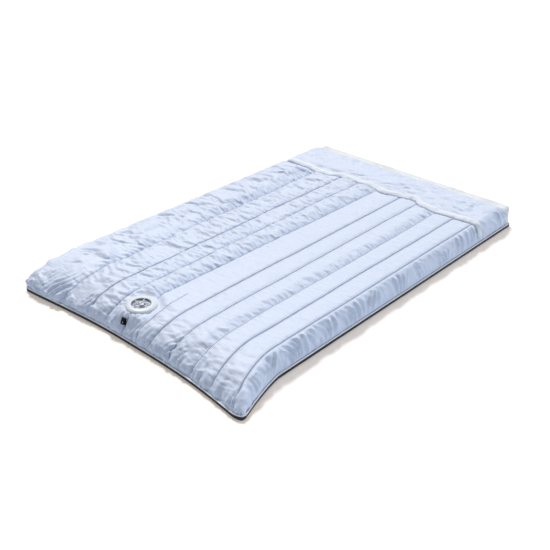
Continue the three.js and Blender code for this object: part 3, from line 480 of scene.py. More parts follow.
def finish_surface(material, colour, height, roughness, bump, reach, plain, under=None):
    """The shader of one material: its colour and height vary, the rest is set on it plainly.

    The height's relief has a strength, bump, and a depth, reach, in millimetres.
    """
    tree = material.node_tree
    shader = add_node(tree, "ShaderNodeBsdfPrincipled", {"Roughness": roughness, **plain})
    relief = add_node(tree, "ShaderNodeBump", {"Strength": bump, "Distance": reach * MM})
    output = add_node(tree, "ShaderNodeOutputMaterial")
    join(
        tree,
        (colour, shader.inputs["Base Color"]),
        (height, relief.inputs["Height"]),
        (relief.outputs[0], shader.inputs["Normal"]),
        (shader.outputs[0], output.inputs["Surface"]),
    )
    if under:
        join(tree, (under, relief.inputs["Normal"]))
    return material


def creased_normal(tree, reach):
    """The facing of cloth with fine creases up to reach millimetres high."""
    creases = place_group(tree, CLOTH_CREASES)
    relief = add_node(tree, "ShaderNodeBump", {"Strength": 1, "Distance": reach * MM}, invert=True)
    join(tree, (creases.outputs["Height"], relief.inputs["Height"]))
    return relief.outputs[0]


def cloth_material(name, dark, light, threads, roughness, creases=0):
    """Woven cloth; threads is the weave's fineness and creases the height of its fine creases."""
    material = new_material(name)
    tree = material.node_tree
    weave = place_group(tree, CLOTH_WEAVE, {"Threads": threads})
    colour = blend_colours(tree, weave.outputs["Shade"], dark, light)
    under = creased_normal(tree, creases) if creases else None
    height, plain = weave.outputs["Height"], {"Sheen Weight": 0.15}
    return finish_surface(
        material, colour, height, roughness, bump=0.35, reach=0.25, plain=plain, under=under
    )


def grained_material(name, dark, light, roughness, grain, bump, reach, plain):
    """A material with the fine grain of moulding or brushing; grain is its fineness."""
    material = new_material(name)
    tree = material.node_tree
    grained = place_group(tree, MOULDED_GRAIN, {"Grain": grain})
    colour = blend_colours(tree, grained.outputs["Shade"], dark, light)
    return finish_surface(material, colour, grained.outputs["Height"], roughness, bump, reach, plain)


def plastic_material(name, dark, light, roughness, specular=0.5):
    plain = {"Specular IOR Level": specular}
    return grained_material(
        name, dark, light, roughness, grain=1.5, bump=0.12, reach=0.1, plain=plain
    )


def metal_material(name, dark, light, roughness):
    plain = {"Metallic": 1}
    return grained_material(
        name, dark, light, roughness, grain=3, bump=0.08, reach=0.05, plain=plain
    )


def core_net_material():
    """White net: pale threads round holes painted a little darker, as painted shade of the core's inside
    seen through them.
    """
    material = new_material("core_net")
    tree = material.node_tree
    net = place_group(tree, HEX_NET, {"Hole": 3.6, "Thread": 0.26})
    # The darker colour in the holes is painted shade of the core's inside; the threads carry the net's
    # own white.
    colour = blend_colours(tree, net.outputs["Threads"], (0.66, 0.68, 0.71), (0.86, 0.87, 0.88))
    height, plain = net.outputs["Height"], {"Sheen Weight": 0.1}
    return finish_surface(material, colour, height, 0.85, bump=0.5, reach=0.8, plain=plain)


QUILT_CLOTH = cloth_material(
    "quilt_cloth", (0.60, 0.68, 0.85), (0.69, 0.76, 0.91), 0.9, 0.5, creases=1.7
)
PIPING_CLOTH = cloth_material("piping_cloth", (0.86, 0.88, 0.94), (0.93, 0.94, 0.97), 1.4, 0.6)
# The tape's cloth is painted lighter than the quilt cloth: a painted highlight for the light that
# catches the raised band over the cross seam.
TAPE_CLOTH_PAINTED_HIGHLIGHT = cloth_material("tape_cloth_painted_highlight", (0.80, 0.87, 0.96), (0.89, 0.93, 0.99), 1.1, 0.6)
# Near-black underside cloth: a real dark sheet that also stands in as painted shadow of the gap under
# the hem.
UNDER_CLOTH_PAINTED_SHADOW = cloth_material("under_cloth_painted_shadow", (0.010, 0.011, 0.014), (0.022, 0.024, 0.030), 0.8, 0.9)
# Dark thread: real stitching that, drawn thick on the lengthwise seams, also stands in as painted shade
# of the seam grooves.
SEAM_THREAD_PAINTED_SHADE = cloth_material("seam_thread_painted_shade", (0.13, 0.18, 0.31), (0.20, 0.26, 0.42), 3.0, 0.6)
CORE_NET = core_net_material()
WHITE_PLASTIC = plastic_material("white_plastic", (0.64, 0.68, 0.72), (0.71, 0.75, 0.79), 0.4)
GREY_PLASTIC = plastic_material("grey_plastic", (0.05, 0.058, 0.064), (0.08, 0.09, 0.10), 0.6)
PALE_PLASTIC = plastic_material("pale_plastic", (0.22, 0.235, 0.25), (0.28, 0.30, 0.32), 0.6)
BLACK_PLASTIC = plastic_material(
    "black_plastic", (0.003, 0.003, 0.004), (0.006, 0.006, 0.007), 0.9, specular=0.2
)
STEEL = metal_material("steel", (0.42, 0.43, 0.45), (0.60, 0.61, 0.63), 0.3)
COPPER = metal_material("copper_wire", (0.45, 0.17, 0.07), (0.62, 0.26, 0.11), 0.35)
FERRITE = plastic_material("ferrite", (0.03, 0.03, 0.032), (0.05, 0.05, 0.053), 0.6)
BOARD = plastic_material("circuit_board", (0.01, 0.07, 0.035), (0.015, 0.11, 0.05), 0.4)


# Noise that folds and puckers read.

def hashed(i, j, seed):
    """A steady number from -1 to 1 for each lattice point."""
    value = i.astype(np.int64) * 374761393 + j.astype(np.int64) * 668265263 + seed * 1274126177
    value = value & 0xFFFFFFFF
    value = ((value ^ (value >> 13)) * 1103515245) & 0xFFFFFFFF
    value = value ^ (value >> 16)
    return (value & 0xFFFF) / 32767.5 - 1


def smooth_noise(u, v, seed):
    """Noise from -1 to 1 that changes smoothly from one lattice point to the next."""
    iu, iv = np.floor(u), np.floor(v)
    fu, fv = u - iu, v - iv
    fu = fu * fu * fu * (fu * (fu * 6 - 15) + 10)
    fv = fv * fv * fv * (fv * (fv * 6 - 15) + 10)
    a, b = hashed(iu, iv, seed), hashed(iu + 1, iv, seed)
    c, d = hashed(iu, iv + 1, seed), hashed(iu + 1, iv + 1, seed)
    return (a * (1 - fu) + b * fu) * (1 - fv) + (c * (1 - fu) + d * fu) * fv


def billow(u, v, seed):
    """Round swells with narrow creases between them, about 0 on average."""
    first = np.abs(smooth_noise(u, v, seed))
    second = np.abs(smooth_noise(u * 2.1 + 7.3, v * 2.1 + 3.1, seed + 1))
    return first * 1.5 + second * 0.5 - 0.55


def step(value):
    """0 below 0, 1 above 1, and a smooth rise between."""
    share = np.clip(value, 0, 1)
    return share * share * (3 - 2 * share)


def bell(distance, reach, power=2):
    """1 at no distance, fading to 0 past reach."""
    return np.exp(-((distance / reach) ** power))


def ridges(phase):
    """Even waves from 0 to 1, one for each whole step of the phase."""
    return 0.5 + 0.5 * np.cos(2 * math.pi * phase)


# The cover's surface.

SEAM_LINES = np.array(
    [-HEM_HALF_WIDTH, *(place * HEM_HALF_WIDTH for place in SEAM_PLACES), RIGHT_EDGE, HEM_HALF_WIDTH]
)
SEAM_SINKS = np.array([0, *SEAM_DEPTHS, EDGE_SEAM_DEPTH, 0]) * DEEPEST_VALLEY


def side_share(x):
    """How far round the side wall's bend a place is: 0 on top, 1 at the hem."""
    share = np.where(x < 0, (-x - LEFT_EDGE) / LEFT_SIDE_FALL, (x - RIGHT_EDGE) / RIGHT_SIDE_FALL)
    return np.clip(share, 0, 1)


def from_fan(x, y):
    """The distance from the fan's axis in plan."""
    return np.hypot(x - FAN_PLACE[0], y - FAN_PLACE[1])


def from_lengthwise_seam(x):
    """The distance across the pad to the nearest lengthwise seam."""
    return np.abs(x[..., None] - SEAM_LINES[1:-1]).min(-1)


def cross_seam(x):
    """How far from the foot the cross seam runs: it steps near three of the lengthwise seams."""
    return np.interp(x, CROSS_SEAM_PLACES, CROSS_SEAM_ROWS)


def plan_point(x, y):
    """Where a place on the flat pattern lies in plan: the foot's corners flare, its edge is drawn in."""
    side = np.abs(x)
    across = np.clip((CORNER_RADIUS - (HEM_HALF_WIDTH - side)) / CORNER_RADIUS, 0, 1)
    along = np.clip((CORNER_RADIUS - y) / CORNER_RADIUS, 0, 1)
    cornered = (across > 0) & (along > 0)
    round_x = HEM_HALF_WIDTH - CORNER_RADIUS + CORNER_RADIUS * across * np.sqrt(1 - along**2 / 2)
    round_y = CORNER_RADIUS - CORNER_RADIUS * along * np.sqrt(1 - across**2 / 2)
    plan_x = np.where(cornered, round_x, side)
    plan_y = np.where(cornered, round_y, y)
    outward = side / HEM_HALF_WIDTH
    flare = np.where(x < 0, LEFT_CORNER_FLARE, RIGHT_CORNER_FLARE)
    plan_x = plan_x + flare * np.clip(1 - y / FLARE_REACH, 0, 1) ** 1.3 * outward**3
    power = np.where(x < 0, 2, 4)
    pull = np.clip(1 - outward**power, 0, 1) ** 1.5
    plan_y = plan_y + FOOT_PULL_IN * np.clip(1 - y / FOOT_FALL, 0, 1) * pull
    return np.sign(x) * plan_x, plan_y


def quilt_crown(x, y):
    """Flat padded panels with steep edges; some seams also have a long bank on their left."""
    after = np.clip(np.searchsorted(SEAM_LINES, x, side="left"), 1, len(SEAM_LINES) - 1)
    start, stop = SEAM_LINES[after - 1], SEAM_LINES[after]
    share = (x - start) / (stop - start)
    valley = -(SEAM_SINKS[after - 1] * (1 - share) + SEAM_SINKS[after] * share)
    usual_width = 90
    crown = PANEL_CROWN * np.sqrt((stop - start) / usual_width)
    crown = crown * (0.75 + 0.25 * (1 - (2 * share - 1) ** 2))
    crown = crown * np.where(x > SEAM_LINES[MIDDLE_SEAM], FLAT_PANEL_SHARE, 1)
    valley = valley * np.where(x > SEAM_LINES[MIDDLE_SEAM] + 1, FLAT_PANEL_SHARE, 1)
    edge = 1 - np.exp(-np.minimum(x - start, stop - x) / PANEL_EDGE)
    height = valley + (crown - valley) * edge
    for place, depth, reach in BANKS:
        out = np.maximum(SEAM_LINES[place] - x, 0)
        bank = 0.45 * bell(out - 1.9 * reach, reach) - bell(out, reach, 1.5)
        height = height + np.where(out > 0, depth * bank, 0)
    return height - DART_DEPTH * step((DART_LENGTH - y) / 72) * bell(x - DART_PLACE, 8)


def seam_pucker(x, y):
    """Short creases that run out from each lengthwise seam, where the thread gathers the cloth."""
    total = np.zeros_like(x)
    for place in range(1, len(SEAM_LINES) - 1):
        away = x - SEAM_LINES[place]
        depth = SEAM_SINKS[place] / DEEPEST_VALLEY
        for side in (-1, 1):
            out = away * side
            fading = bell(np.maximum(out, 0), 17 + 9 * depth, 1.6) * (1 - bell(out, 4))
            envelope = np.where(out > 0, fading, 0)
            lean = 0.5 * smooth_noise(y / 90, out * 0, 40 + place)
            lift = billow((y + lean * out) / 15, out / 60, 100 + 7 * place + side)
            total += envelope * lift * (1.1 + 2.0 * depth)
    return total


def wall_folds(x, y):
    """Leaning folds of the side walls, deeper near the foot."""
    wall = np.where(x > 0, x - RIGHT_EDGE, -x - LEFT_EDGE)
    down = np.clip(wall, 0, None) * 1.9
    nearness = 0.35 + 0.65 * step((620 - y) / 420)
    lean = 1.15 * (0.6 + 0.4 * nearness)
    phase = (y - lean * down) / 30 + 0.6 * smooth_noise(y / 120, down / 60, 5)
    folds = billow(phase, down / 150 + np.sign(x) * 9, 11) * 7.0 * nearness
    return folds + billow(phase * 2.3, down / 60, 13) * 2.2


def hem_folds(x, y, foot_share):
    """Short folds of the cloth just over the foot hem."""
    over = 1 - foot_share
    at_hem = bell(over, 0.22, 1.5) * step(over / 0.02)
    return billow(x / 17 + 0.5 * smooth_noise(x / 60, y / 60, 21), y / 70, 23) * 4.0 * at_hem


def top_folds(x, y, headward, from_cross):
    """Folds of the quilted top, calm in the flat panels, and the crumple beyond the cross seam."""
    broad = billow((x + 0.5 * y) / 95, (y - 0.4 * x) / 42, 31) * 1.5
    fine = billow((x - 0.3 * y) / 40, (y + 0.35 * x) / 13, 37) * 0.9
    calm = np.where(x > SEAM_LINES[MIDDLE_SEAM], 0.35 + 0.65 * step((150 - y) / 110), 1)
    for place in (MIDDLE_SEAM, RIGHT_BANKED_SEAM):
        out = SEAM_LINES[place] - x
        calm = np.maximum(calm, np.where(out >= 0, bell(out, 40), 0))
    quilted = (seam_pucker(x, y) + broad + fine) * (1 - headward) * calm
    crumple = billow((x + 0.7 * y) / 60, (y - 0.3 * x) / 45, 51) * 3.0
    crumple += billow((x - 0.9 * y) / 30, (y + 0.2 * x) / 26, 53) * 1.2
    beside_cross = bell(from_cross, 26) * (1 - bell(from_cross, 5))
    gather = billow(x / 13, from_cross / 50 + np.sign(from_cross) * 4, 61) * 2.6 * beside_cross
    return quilted + crumple * headward + gather


def cloth_folds(x, y, side, foot, headward, from_cross):
    """All the small folds, as a height over the smooth quilt."""
    on_wall = step(side / 0.35) * step((1 - side) / 0.25)
    on_top = top_folds(x, y, headward, from_cross) * (1 - on_wall)
    return wall_folds(x, y) * on_wall + hem_folds(x, y, foot) + on_top


def cover_surface(x, y, folds):
    """Points of the cover's outside and the way each faces, from places on the flat pattern.

    Folds is how much of the small folds shows, from 0 to 1.
    """
    x, y = np.broadcast_arrays(np.asarray(x, float), np.asarray(y, float))
    wander = 2.2 * smooth_noise(y / 170, x / 60, 71) * step((HEM_HALF_WIDTH - np.abs(x)) / 60)
    skew = np.interp(y, MIDDLE_SKEW_ROWS, MIDDLE_SKEW) * bell(x, 70)
    plan_x, plan_y = plan_point(x, y)
    plan_x = plan_x + wander * step((y - 60) / 120) + skew
    side = side_share(x)
    foot = np.clip((FOOT_FALL - y) / FOOT_FALL, 0, 1)
    rise = np.sqrt(1 - side**2) * np.sqrt(1 - foot**2)
    at_fan = 1 - step((from_fan(plan_x, plan_y) - FAN_SEAT_RADIUS) / FAN_SEAT_EASE)
    full_rise = SEAM_HEIGHT - HEM_HEIGHT
    level = HEM_HEIGHT + full_rise * rise
    height = level + (FAN_SEAT_HEIGHT - level) * at_fan * (rise > 0)
    fall = np.where(x < 0, LEFT_SIDE_FALL, RIGHT_SIDE_FALL)
    facing = np.stack([np.sign(x) * side / fall, -foot / FOOT_FALL, rise / full_rise], -1)
    facing /= np.linalg.norm(facing, axis=-1, keepdims=True)
    from_cross = y - cross_seam(x)
    headward = step(from_cross / 30)
    at_cross = bell(from_cross, CROSS_VALLEY_WIDTH)
    edge = step((y - COVER_LENGTH + HEAD_DROP_REACH) / HEAD_DROP_REACH)
    quilt = quilt_crown(x, y) * (1 - headward) + HEAD_CROWN * headward
    crown = quilt * (1 - at_cross) - CROSS_VALLEY * at_cross - HEAD_DROP * edge
    crown = crown * (1 - at_fan) * step(rise / 0.3)
    if folds:
        hem_hold = step(rise / 0.12)
        small = cloth_folds(x, y, side, foot, headward, from_cross)
        crown = crown + folds * small * hem_hold * (1 - 0.85 * at_fan) * (1 - 0.6 * edge)
    base = np.stack([plan_x, plan_y, height], -1)
    return base + facing * crown[..., None], facing


# Making meshes.

@contextmanager
def editing(mesh):
    """Opens a mesh for changes to its edges and faces, and writes it back at the end."""
    work = bmesh.new()
    work.from_mesh(mesh)
    yield work
    work.to_mesh(mesh)
    work.free()


def open_edges(work):
    return [edge for edge in work.edges if edge.is_boundary]


def smooth_faces(mesh):
    mesh.polygons.foreach_set("use_smooth", [True] * len(mesh.polygons))


def add_piece(name, points, faces, material):
    """A mesh object from points in millimetres, placed where the frame has the pad."""
    mesh = bpy.data.meshes.new(name)
    placed = (np.asarray(points, float) + SHIFT) * MM
    mesh.from_pydata(placed.tolist(), [], [tuple(int(i) for i in face) for face in faces])
    mesh.materials.append(material)
    smooth_faces(mesh)
    mesh.update()
    piece = bpy.data.objects.new(name, mesh)
    bpy.context.collection.objects.link(piece)
    return piece


def grid_faces(rows, columns, first=0):
    """Four-sided faces of a grid whose points are numbered row by row from first."""
    index = np.arange(rows * columns).reshape(rows, columns) + first
    a, b = index[:-1, :-1].ravel(), index[:-1, 1:].ravel()
    c, d = index[1:, 1:].ravel(), index[1:, :-1].ravel()
    return np.stack([a, b, c, d], -1).tolist()


def two_skins(name, upper, lower, material):
    """A piece of two grids that face away from each other, with their rims still open."""
    rows, columns = upper.shape[:2]
    faces = grid_faces(rows, columns)
    faces += [face[::-1] for face in grid_faces(rows, columns, rows * columns)]
    points = np.concatenate([upper.reshape(-1, 3), lower.reshape(-1, 3)])
    return add_piece(name, points, faces, material)


# The cover's grid and the cloth simulation.

def quarter_turn(steps):
    """Shares from 0 to 1 that crowd together towards 1, as points round a bend do."""
    return np.sin(np.linspace(0, math.pi / 2, steps))


def dense_columns(spacing):
    """Places across the pad, closer together beside each seam and down the side walls."""
    walls = quarter_turn(WALL_STEPS)
    left = -(LEFT_EDGE + LEFT_SIDE_FALL * walls[1:][::-1])
    right = RIGHT_EDGE + RIGHT_SIDE_FALL * walls[1:]
    stops = [-LEFT_EDGE, *SEAM_LINES[1:-1]]
    middle = []
    for start, stop in zip(stops[:-1], stops[1:]):
        middle.append(start)
        begin, end = start + SEAM_GROOVE, stop - SEAM_GROOVE
        count = max(6, round((end - begin) / spacing))
        middle.extend(np.linspace(begin, end, count + 1))
    return np.concatenate([left, middle, [RIGHT_EDGE, RIGHT_EDGE + SEAM_GROOVE], right[1:]])


def dense_rows(spacing):
    """Places along the pad, closer together down the foot fall."""
    foot = FOOT_FALL * (1 - quarter_turn(FOOT_STEPS))[::-1]
    body = np.arange(FOOT_FALL + spacing, COVER_LENGTH - spacing / 2, spacing)
    return np.concatenate([foot, body, [COVER_LENGTH]])


def head_stretch(x, y):
    """Moves the last rows so that the side walls' lower edges reach further than the top's."""
    reach = HEAD_SIDE_REACH * (1 - np.sqrt(1 - side_share(x) ** 2))
    start = CROSS_SEAM + 60
    return y + reach * np.clip((y - start) / (COVER_LENGTH - start), 0, 1)


def held_places(x, y):
    """Where the cloth is sewn or clamped: seams, cross seam, tape, hems, fan and panel."""
    from_cross = y - cross_seam(x)
    held = (from_lengthwise_seam(x) < SEAM_GROOVE + 0.2) & (from_cross < 0)
    for line in (0, TAPE_START, TAPE_START + TAPE_WIDTH):
        held |= np.abs(from_cross - line) < ROW_SPACING * 0.55
    held |= from_fan(x, y) < FAN_CLEAR
    held |= (np.abs(x - FAN_PLACE[0]) < PANEL_HALF_WIDTH) & (y < PANEL_TOP)
    held[0], held[-1] = True, True
    held[:, 0], held[:, -1] = True, True
    return held


def liveliness(x, y):
    """How much of the puckering shows at a place: least in the flat panels on the right."""
    lively = np.where(x < SEAM_LINES[MIDDLE_SEAM], FULL_PUCKER, FLAT_PUCKER)
    for place, reach in ((MIDDLE_SEAM, 60), (RIGHT_BANKED_SEAM, 40)):
        out = SEAM_LINES[place] - x
        lively = np.maximum(lively, np.where(out > 0, FULL_PUCKER * bell(out, reach), 0))
    lively = np.maximum(lively, FOOT_PUCKER * step((130 - y) / 110))
    from_cross = y - cross_seam(x)
    lively = np.where(from_cross > 0, HEAD_PUCKER, lively)
    lively = lively * (1 - 0.6 * bell(from_cross - 16, 22, 4))
    return lively * (1 - 0.5 * np.clip((np.abs(x) - RIGHT_EDGE) / 6, 0, 1))


def gathered_cloth(points, held):
    """Draws the held lines together under the cloth, so that the spare cloth between them puckers."""
    rows, columns = held.shape
    target = (points * MM).reshape(-1, 3)
    middle = target.mean(axis=0)
    spread = middle + (target - middle) * np.array([1 + SPARE_ACROSS, 1 + SPARE_ALONG, 1])
    mesh = bpy.data.meshes.new("cloth_trial")
    mesh.from_pydata(spread.tolist(), [], grid_faces(rows, columns))
    trial = bpy.data.objects.new("cloth_trial", mesh)
    bpy.context.collection.objects.link(trial)
    trial.shape_key_add(name="spread")
    drawn = trial.shape_key_add(name="drawn_together")
    drawn.data.foreach_set("co", target.ravel())
    for value, moment in ((0, 1), (1, CLOTH_FRAMES // 2)):
        drawn.value = value
        drawn.keyframe_insert("value", frame=moment)
    sewn = trial.vertex_groups.new(name="sewn")
    sewn.add(np.flatnonzero(held.ravel()).tolist(), 1.0, "REPLACE")
    cloth = trial.modifiers.new("cloth", "CLOTH")
    settings = cloth.settings
    settings.quality = CLOTH_QUALITY
    settings.mass = CLOTH_MASS
    settings.tension_stiffness = CLOTH_STIFFNESS
    settings.compression_stiffness = CLOTH_STIFFNESS
    settings.shear_stiffness = CLOTH_STIFFNESS / 3
    settings.bending_stiffness = CLOTH_BENDING
    settings.use_pressure = True
    settings.uniform_pressure_force = CLOTH_PRESSURE
    settings.vertex_group_mass = "sewn"
    settings.effector_weights.gravity = 0
    cloth.collision_settings.use_collision = False
    cloth.point_cache.frame_start = 1
    cloth.point_cache.frame_end = CLOTH_FRAMES
    scene = bpy.context.scene
    for moment in range(1, CLOTH_FRAMES + 1):
        scene.frame_set(moment)
    settled = trial.evaluated_get(bpy.context.evaluated_depsgraph_get())
    result = settled.to_mesh()
    places = np.empty(len(result.vertices) * 3)
    result.vertices.foreach_get("co", places)
    settled.to_mesh_clear()
    bpy.data.objects.remove(trial)
    bpy.data.meshes.remove(mesh)
    scene.frame_set(1)
    return places.reshape(points.shape) / MM


def capped(points, facing, moved, inward, outward):
    """Keeps each point within reach of where it started, along its facing and beside it."""
    shift = moved - points
    along = np.sum(shift * facing, axis=-1, keepdims=True)
    beside = shift - along * facing
    length = np.linalg.norm(beside, axis=-1, keepdims=True)
    beside *= np.minimum(1, CLOTH_DRIFT / np.maximum(length, 1e-6))
    soft = np.where(along > 0, outward * np.tanh(along / outward), -inward * np.tanh(-along / inward))
    return points + beside + soft * facing


def spline_columns(grid, share):
    """Values of a grid between its columns, along smooth curves."""
    last = grid.shape[1] - 1
    left = np.clip(share.astype(int), 0, last - 1)
    t = (share - left)[None, :, None]
    a, b = grid[:, np.maximum(left - 1, 0)], grid[:, left]
    c, d = grid[:, left + 1], grid[:, np.minimum(left + 2, last)]
    return b + 0.5 * t * (c - a + t * (2 * a - 5 * b + 4 * c - d + t * (3 * (b - c) + d - a)))


def cover_grid(columns, rows):
    """The cover's outer skin as a grid of points, and the way each faced before its folds."""
    x, y = np.meshgrid(columns, rows)
    y = head_stretch(x, y)
    points, facing = cover_surface(x, y, CODE_FOLDS)
    trial = gathered_cloth(points, held_places(x, y))
    on_wall = np.clip((np.abs(x) - RIGHT_EDGE) / 8, 0, 1)[..., None]
    moved = capped(points, facing, trial, CLOTH_INWARD * (1 - 0.8 * on_wall), CLOTH_OUTWARD)
    points = points + (moved - points) * liveliness(x, y)[..., None]
    return points, facing


# Folds that are laid over the simulated cloth.

def wall_pleats(x, y):
    """Uneven pleats of the side walls, deepest on the right and near the foot."""
    turn = np.arcsin(side_share(x)) / (math.pi / 2)
    down = WALL_SPAN * turn
    near_foot = 0.65 + 0.35 * step((800 - y) / 480)
    phase = (y - 0.2 * down) / WALL_PITCH + 1.9 * smooth_noise(y / 62, down / 70, 5)
    strength = 0.62 + 0.75 * smooth_noise(y / 31, down / 45, 6)
    small_phase = (y - 0.7 * down) / SMALL_WALL_PITCH + 1.4 * smooth_noise(y / 34, down / 30, 7)
    small_strength = 0.2 + 0.3 * smooth_noise(y / 40, down / 50, 8)
    ridge = ridges(phase) ** 1.8 - 0.15
    ridge = ridge + small_strength * ridges(small_phase) ** 1.5
    across = np.sin(math.pi * turn**1.4) ** 1.1
    pleat = WALL_PLEAT * ridge * np.clip(strength, 0.1, 1.2) * across * near_foot
    return pleat * np.where(x > 0, 1, LEFT_WALL_SHARE)


def hem_pleats(x, y):
    """Pleats of uneven reach over the foot hem, and how near the hem each place is."""
    up = np.clip(y, 0, FOOT_FALL) / FOOT_FALL
    reach = 0.26 + 0.14 * smooth_noise(x / 26, 0 * y, 23)
    at_hem = step(up / 0.03) * bell(up, reach, 1.6)
    phase = (x - 0.25 * y) / HEM_PITCH + 1.3 * smooth_noise(x / 44, y / 80, 21)
    strength = 0.55 + 0.55 * smooth_noise(x / 23, 0 * y, 22)
    return HEM_PLEAT * (ridges(phase) ** 2 - 0.3) * strength * at_hem, at_hem


def tuft_stars(x, y):
    """Small dimples beside the fan, each with creases that run out from it."""
    star = np.zeros_like(x)
    for place_x, place_y in TUFTS:
        reach = np.hypot(x - place_x, y - place_y)
        angle = np.arctan2(y - place_y, x - place_x)
        wander = 2.5 * smooth_noise(angle * 1.1 + 9, reach / TUFT_REACH, 31)
        rays = 0.5 + 0.5 * np.cos(TUFT_RAYS * angle + wander)
        star += TUFT_DEPTH * (rays * (1 - bell(reach, 7)) - 1) * bell(reach, TUFT_REACH)
    return star


def head_creases(x, y):
    """Slanting creases of the cloth between the tape and the head end."""
    on_top = step((RIGHT_EDGE - 6 - np.abs(x)) / 30)
    crease = HEAD_CREASE * (billow((x + 0.7 * y) / 85, (y - 0.35 * x) / 21, 41) - 0.35)
    from_cross = y - cross_seam(x)
    return crease * step((from_cross - 30) / 20) * step((COVER_LENGTH - 4 - y) / 25) * on_top


def seam_grooves(x, y):
    """1 in the narrow groove of each seam and 0 beside it."""
    from_cross = y - cross_seam(x)
    lengthwise = bell(from_lengthwise_seam(x), GROOVE_WIDTH) * (from_cross < 0) * step(y / 10)
    groove = np.maximum(lengthwise, bell(from_cross, GROOVE_WIDTH) * (np.abs(x) < RIGHT_EDGE))
    return groove * step((from_fan(x, y) - 52) / 10)


def pleats(x, y):
    """All that is laid over the simulated cloth, as a height."""
    hem, at_hem = hem_pleats(x, y)
    folds = wall_pleats(x, y) * (1 - at_hem) + hem + head_creases(x, y) + tuft_stars(x, y)
    return folds - GROOVE_DEPTH * seam_grooves(x, y)


def finished_grid(coarse, rows):
    """The skin with more columns, its pleats and the sewn grooves; with the normals."""
    columns = dense_columns(FINE_COLUMN_SPACING)
    share = np.interp(columns, coarse, np.arange(len(coarse)))
    points, facing = (spline_columns(grid, share) for grid in cover_grid(coarse, rows))
    x, y = np.meshgrid(columns, rows)
    points = points + facing * pleats(x, y)[..., None]
    along_x, along_y = np.gradient(points, axis=1), np.gradient(points, axis=0)
    normals = np.cross(along_x, along_y)
    normals /= np.linalg.norm(normals, axis=-1, keepdims=True)
    return columns, points, normals


ROWS = dense_rows(ROW_SPACING)
COLUMNS, GRID_POINTS, GRID_NORMALS = finished_grid(dense_columns(COLUMN_SPACING), ROWS)


def surface_at(x, y):
    """A place on the finished cover and its normal, from places on the flat pattern."""
    x, y = np.broadcast_arrays(np.asarray(x, float), np.asarray(y, float))
    column = np.clip(np.interp(x, COLUMNS, np.arange(len(COLUMNS))), 0, len(COLUMNS) - 1.001)
    row = np.clip(np.interp(y, ROWS, np.arange(len(ROWS))), 0, len(ROWS) - 1.001)
    left, low = column.astype(int), row.astype(int)
    across, up = (column - left)[..., None], (row - low)[..., None]
    found = []
    for grid in (GRID_POINTS, GRID_NORMALS):
        near = grid[low, left] * (1 - across) + grid[low, left + 1] * across
        far = grid[low + 1, left] * (1 - across) + grid[low + 1, left + 1] * across
        found.append(near * (1 - up) + far * up)
    return found[0], found[1] / np.linalg.norm(found[1], axis=-1, keepdims=True)


def make_cover():
    """The quilted cover: the finished skin, its turned-in lip at the head and a flat underside."""
    lip = []
    for depth, back in COVER_LIP:
        lip.append(GRID_POINTS[-1] - GRID_NORMALS[-1] * depth + np.array([0, -back, 0]))
    points = np.concatenate([GRID_POINTS, np.array(lip)])
    faces = grid_faces(len(points), len(COLUMNS))
    piece = add_piece("quilted_cover_cloth", points.reshape(-1, 3), faces, QUILT_CLOTH)
    with editing(piece.data) as work:
        bmesh.ops.holes_fill(work, edges=open_edges(work))
        bmesh.ops.triangulate(work, faces=[face for face in work.faces if len(face.verts) > 4])
        bmesh.ops.recalc_face_normals(work, faces=work.faces)
    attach(piece, "pad")
    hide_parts("quilted_cover")


# What repeats or follows a path: geometry node trees over guide lines.

def path_tree(name, sizes, spacing, seed=None):
    """A tree with named inputs, and its guide line resampled at the spacing that one of them gives."""
    tree = bpy.data.node_groups.new(name, "GeometryNodeTree")
    face = tree.interface
    face.new_socket("Geometry", in_out="INPUT", socket_type="NodeSocketGeometry")
    for label, value in sizes.items():
        face.new_socket(label, in_out="INPUT", socket_type="NodeSocketFloat").default_value = value
    if seed is not None:
        face.new_socket("Seed", in_out="INPUT", socket_type="NodeSocketInt").default_value = seed
    face.new_socket("Finish", in_out="INPUT", socket_type="NodeSocketMaterial")
    face.new_socket("Geometry", in_out="OUTPUT", socket_type="NodeSocketGeometry")
    start = add_node(tree, "NodeGroupInput")
    even = add_node(tree, "GeometryNodeResampleCurve", mode="LENGTH")
    join(
        tree,
        (start.outputs["Geometry"], even.inputs["Curve"]),
        (start.outputs[spacing], even.inputs["Length"]),
    )
    return tree, start, even.outputs["Curve"]


def finish_path_tree(tree, start, shape):
    """Makes the tree's shape real and gives it its material."""
    real = add_node(tree, "GeometryNodeRealizeInstances")
    dressed = add_node(tree, "GeometryNodeSetMaterial")
    end = add_node(tree, "NodeGroupOutput")
    join(
        tree,
        (shape, real.inputs[0]),
        (real.outputs[0], dressed.inputs["Geometry"]),
        (start.outputs["Finish"], dressed.inputs["Material"]),
        (dressed.outputs[0], end.inputs["Geometry"]),
    )
    return tree


def stitch_tree():
    """Rows of short thread stitches along every spline of a curve."""
    sizes = {"Pitch": 0.005, "Length": 0.0036, "Thread": 0.0006}
    tree, start, line = path_tree("stitch_rows", sizes, "Pitch")
    ball = add_node(tree, "GeometryNodeMeshUVSphere", {"Segments": 6, "Rings": 4, "Radius": 0.5})
    ahead = add_node(tree, "GeometryNodeInputTangent")
    turn = add_node(tree, "FunctionNodeAlignRotationToVector", axis="X")
    size = add_node(tree, "ShaderNodeCombineXYZ")
    place = add_node(tree, "GeometryNodeInstanceOnPoints")
    join(
        tree,
        (ahead.outputs[0], turn.inputs["Vector"]),
        (start.outputs["Length"], size.inputs["X"]),
        (start.outputs["Thread"], size.inputs["Y"]),
        (start.outputs["Thread"], size.inputs["Z"]),
        (line, place.inputs["Points"]),
        (ball.outputs["Mesh"], place.inputs["Instance"]),
        (turn.outputs["Rotation"], place.inputs["Rotation"]),
        (size.outputs[0], place.inputs["Scale"]),
    )
    return finish_path_tree(tree, start, place.outputs[0])


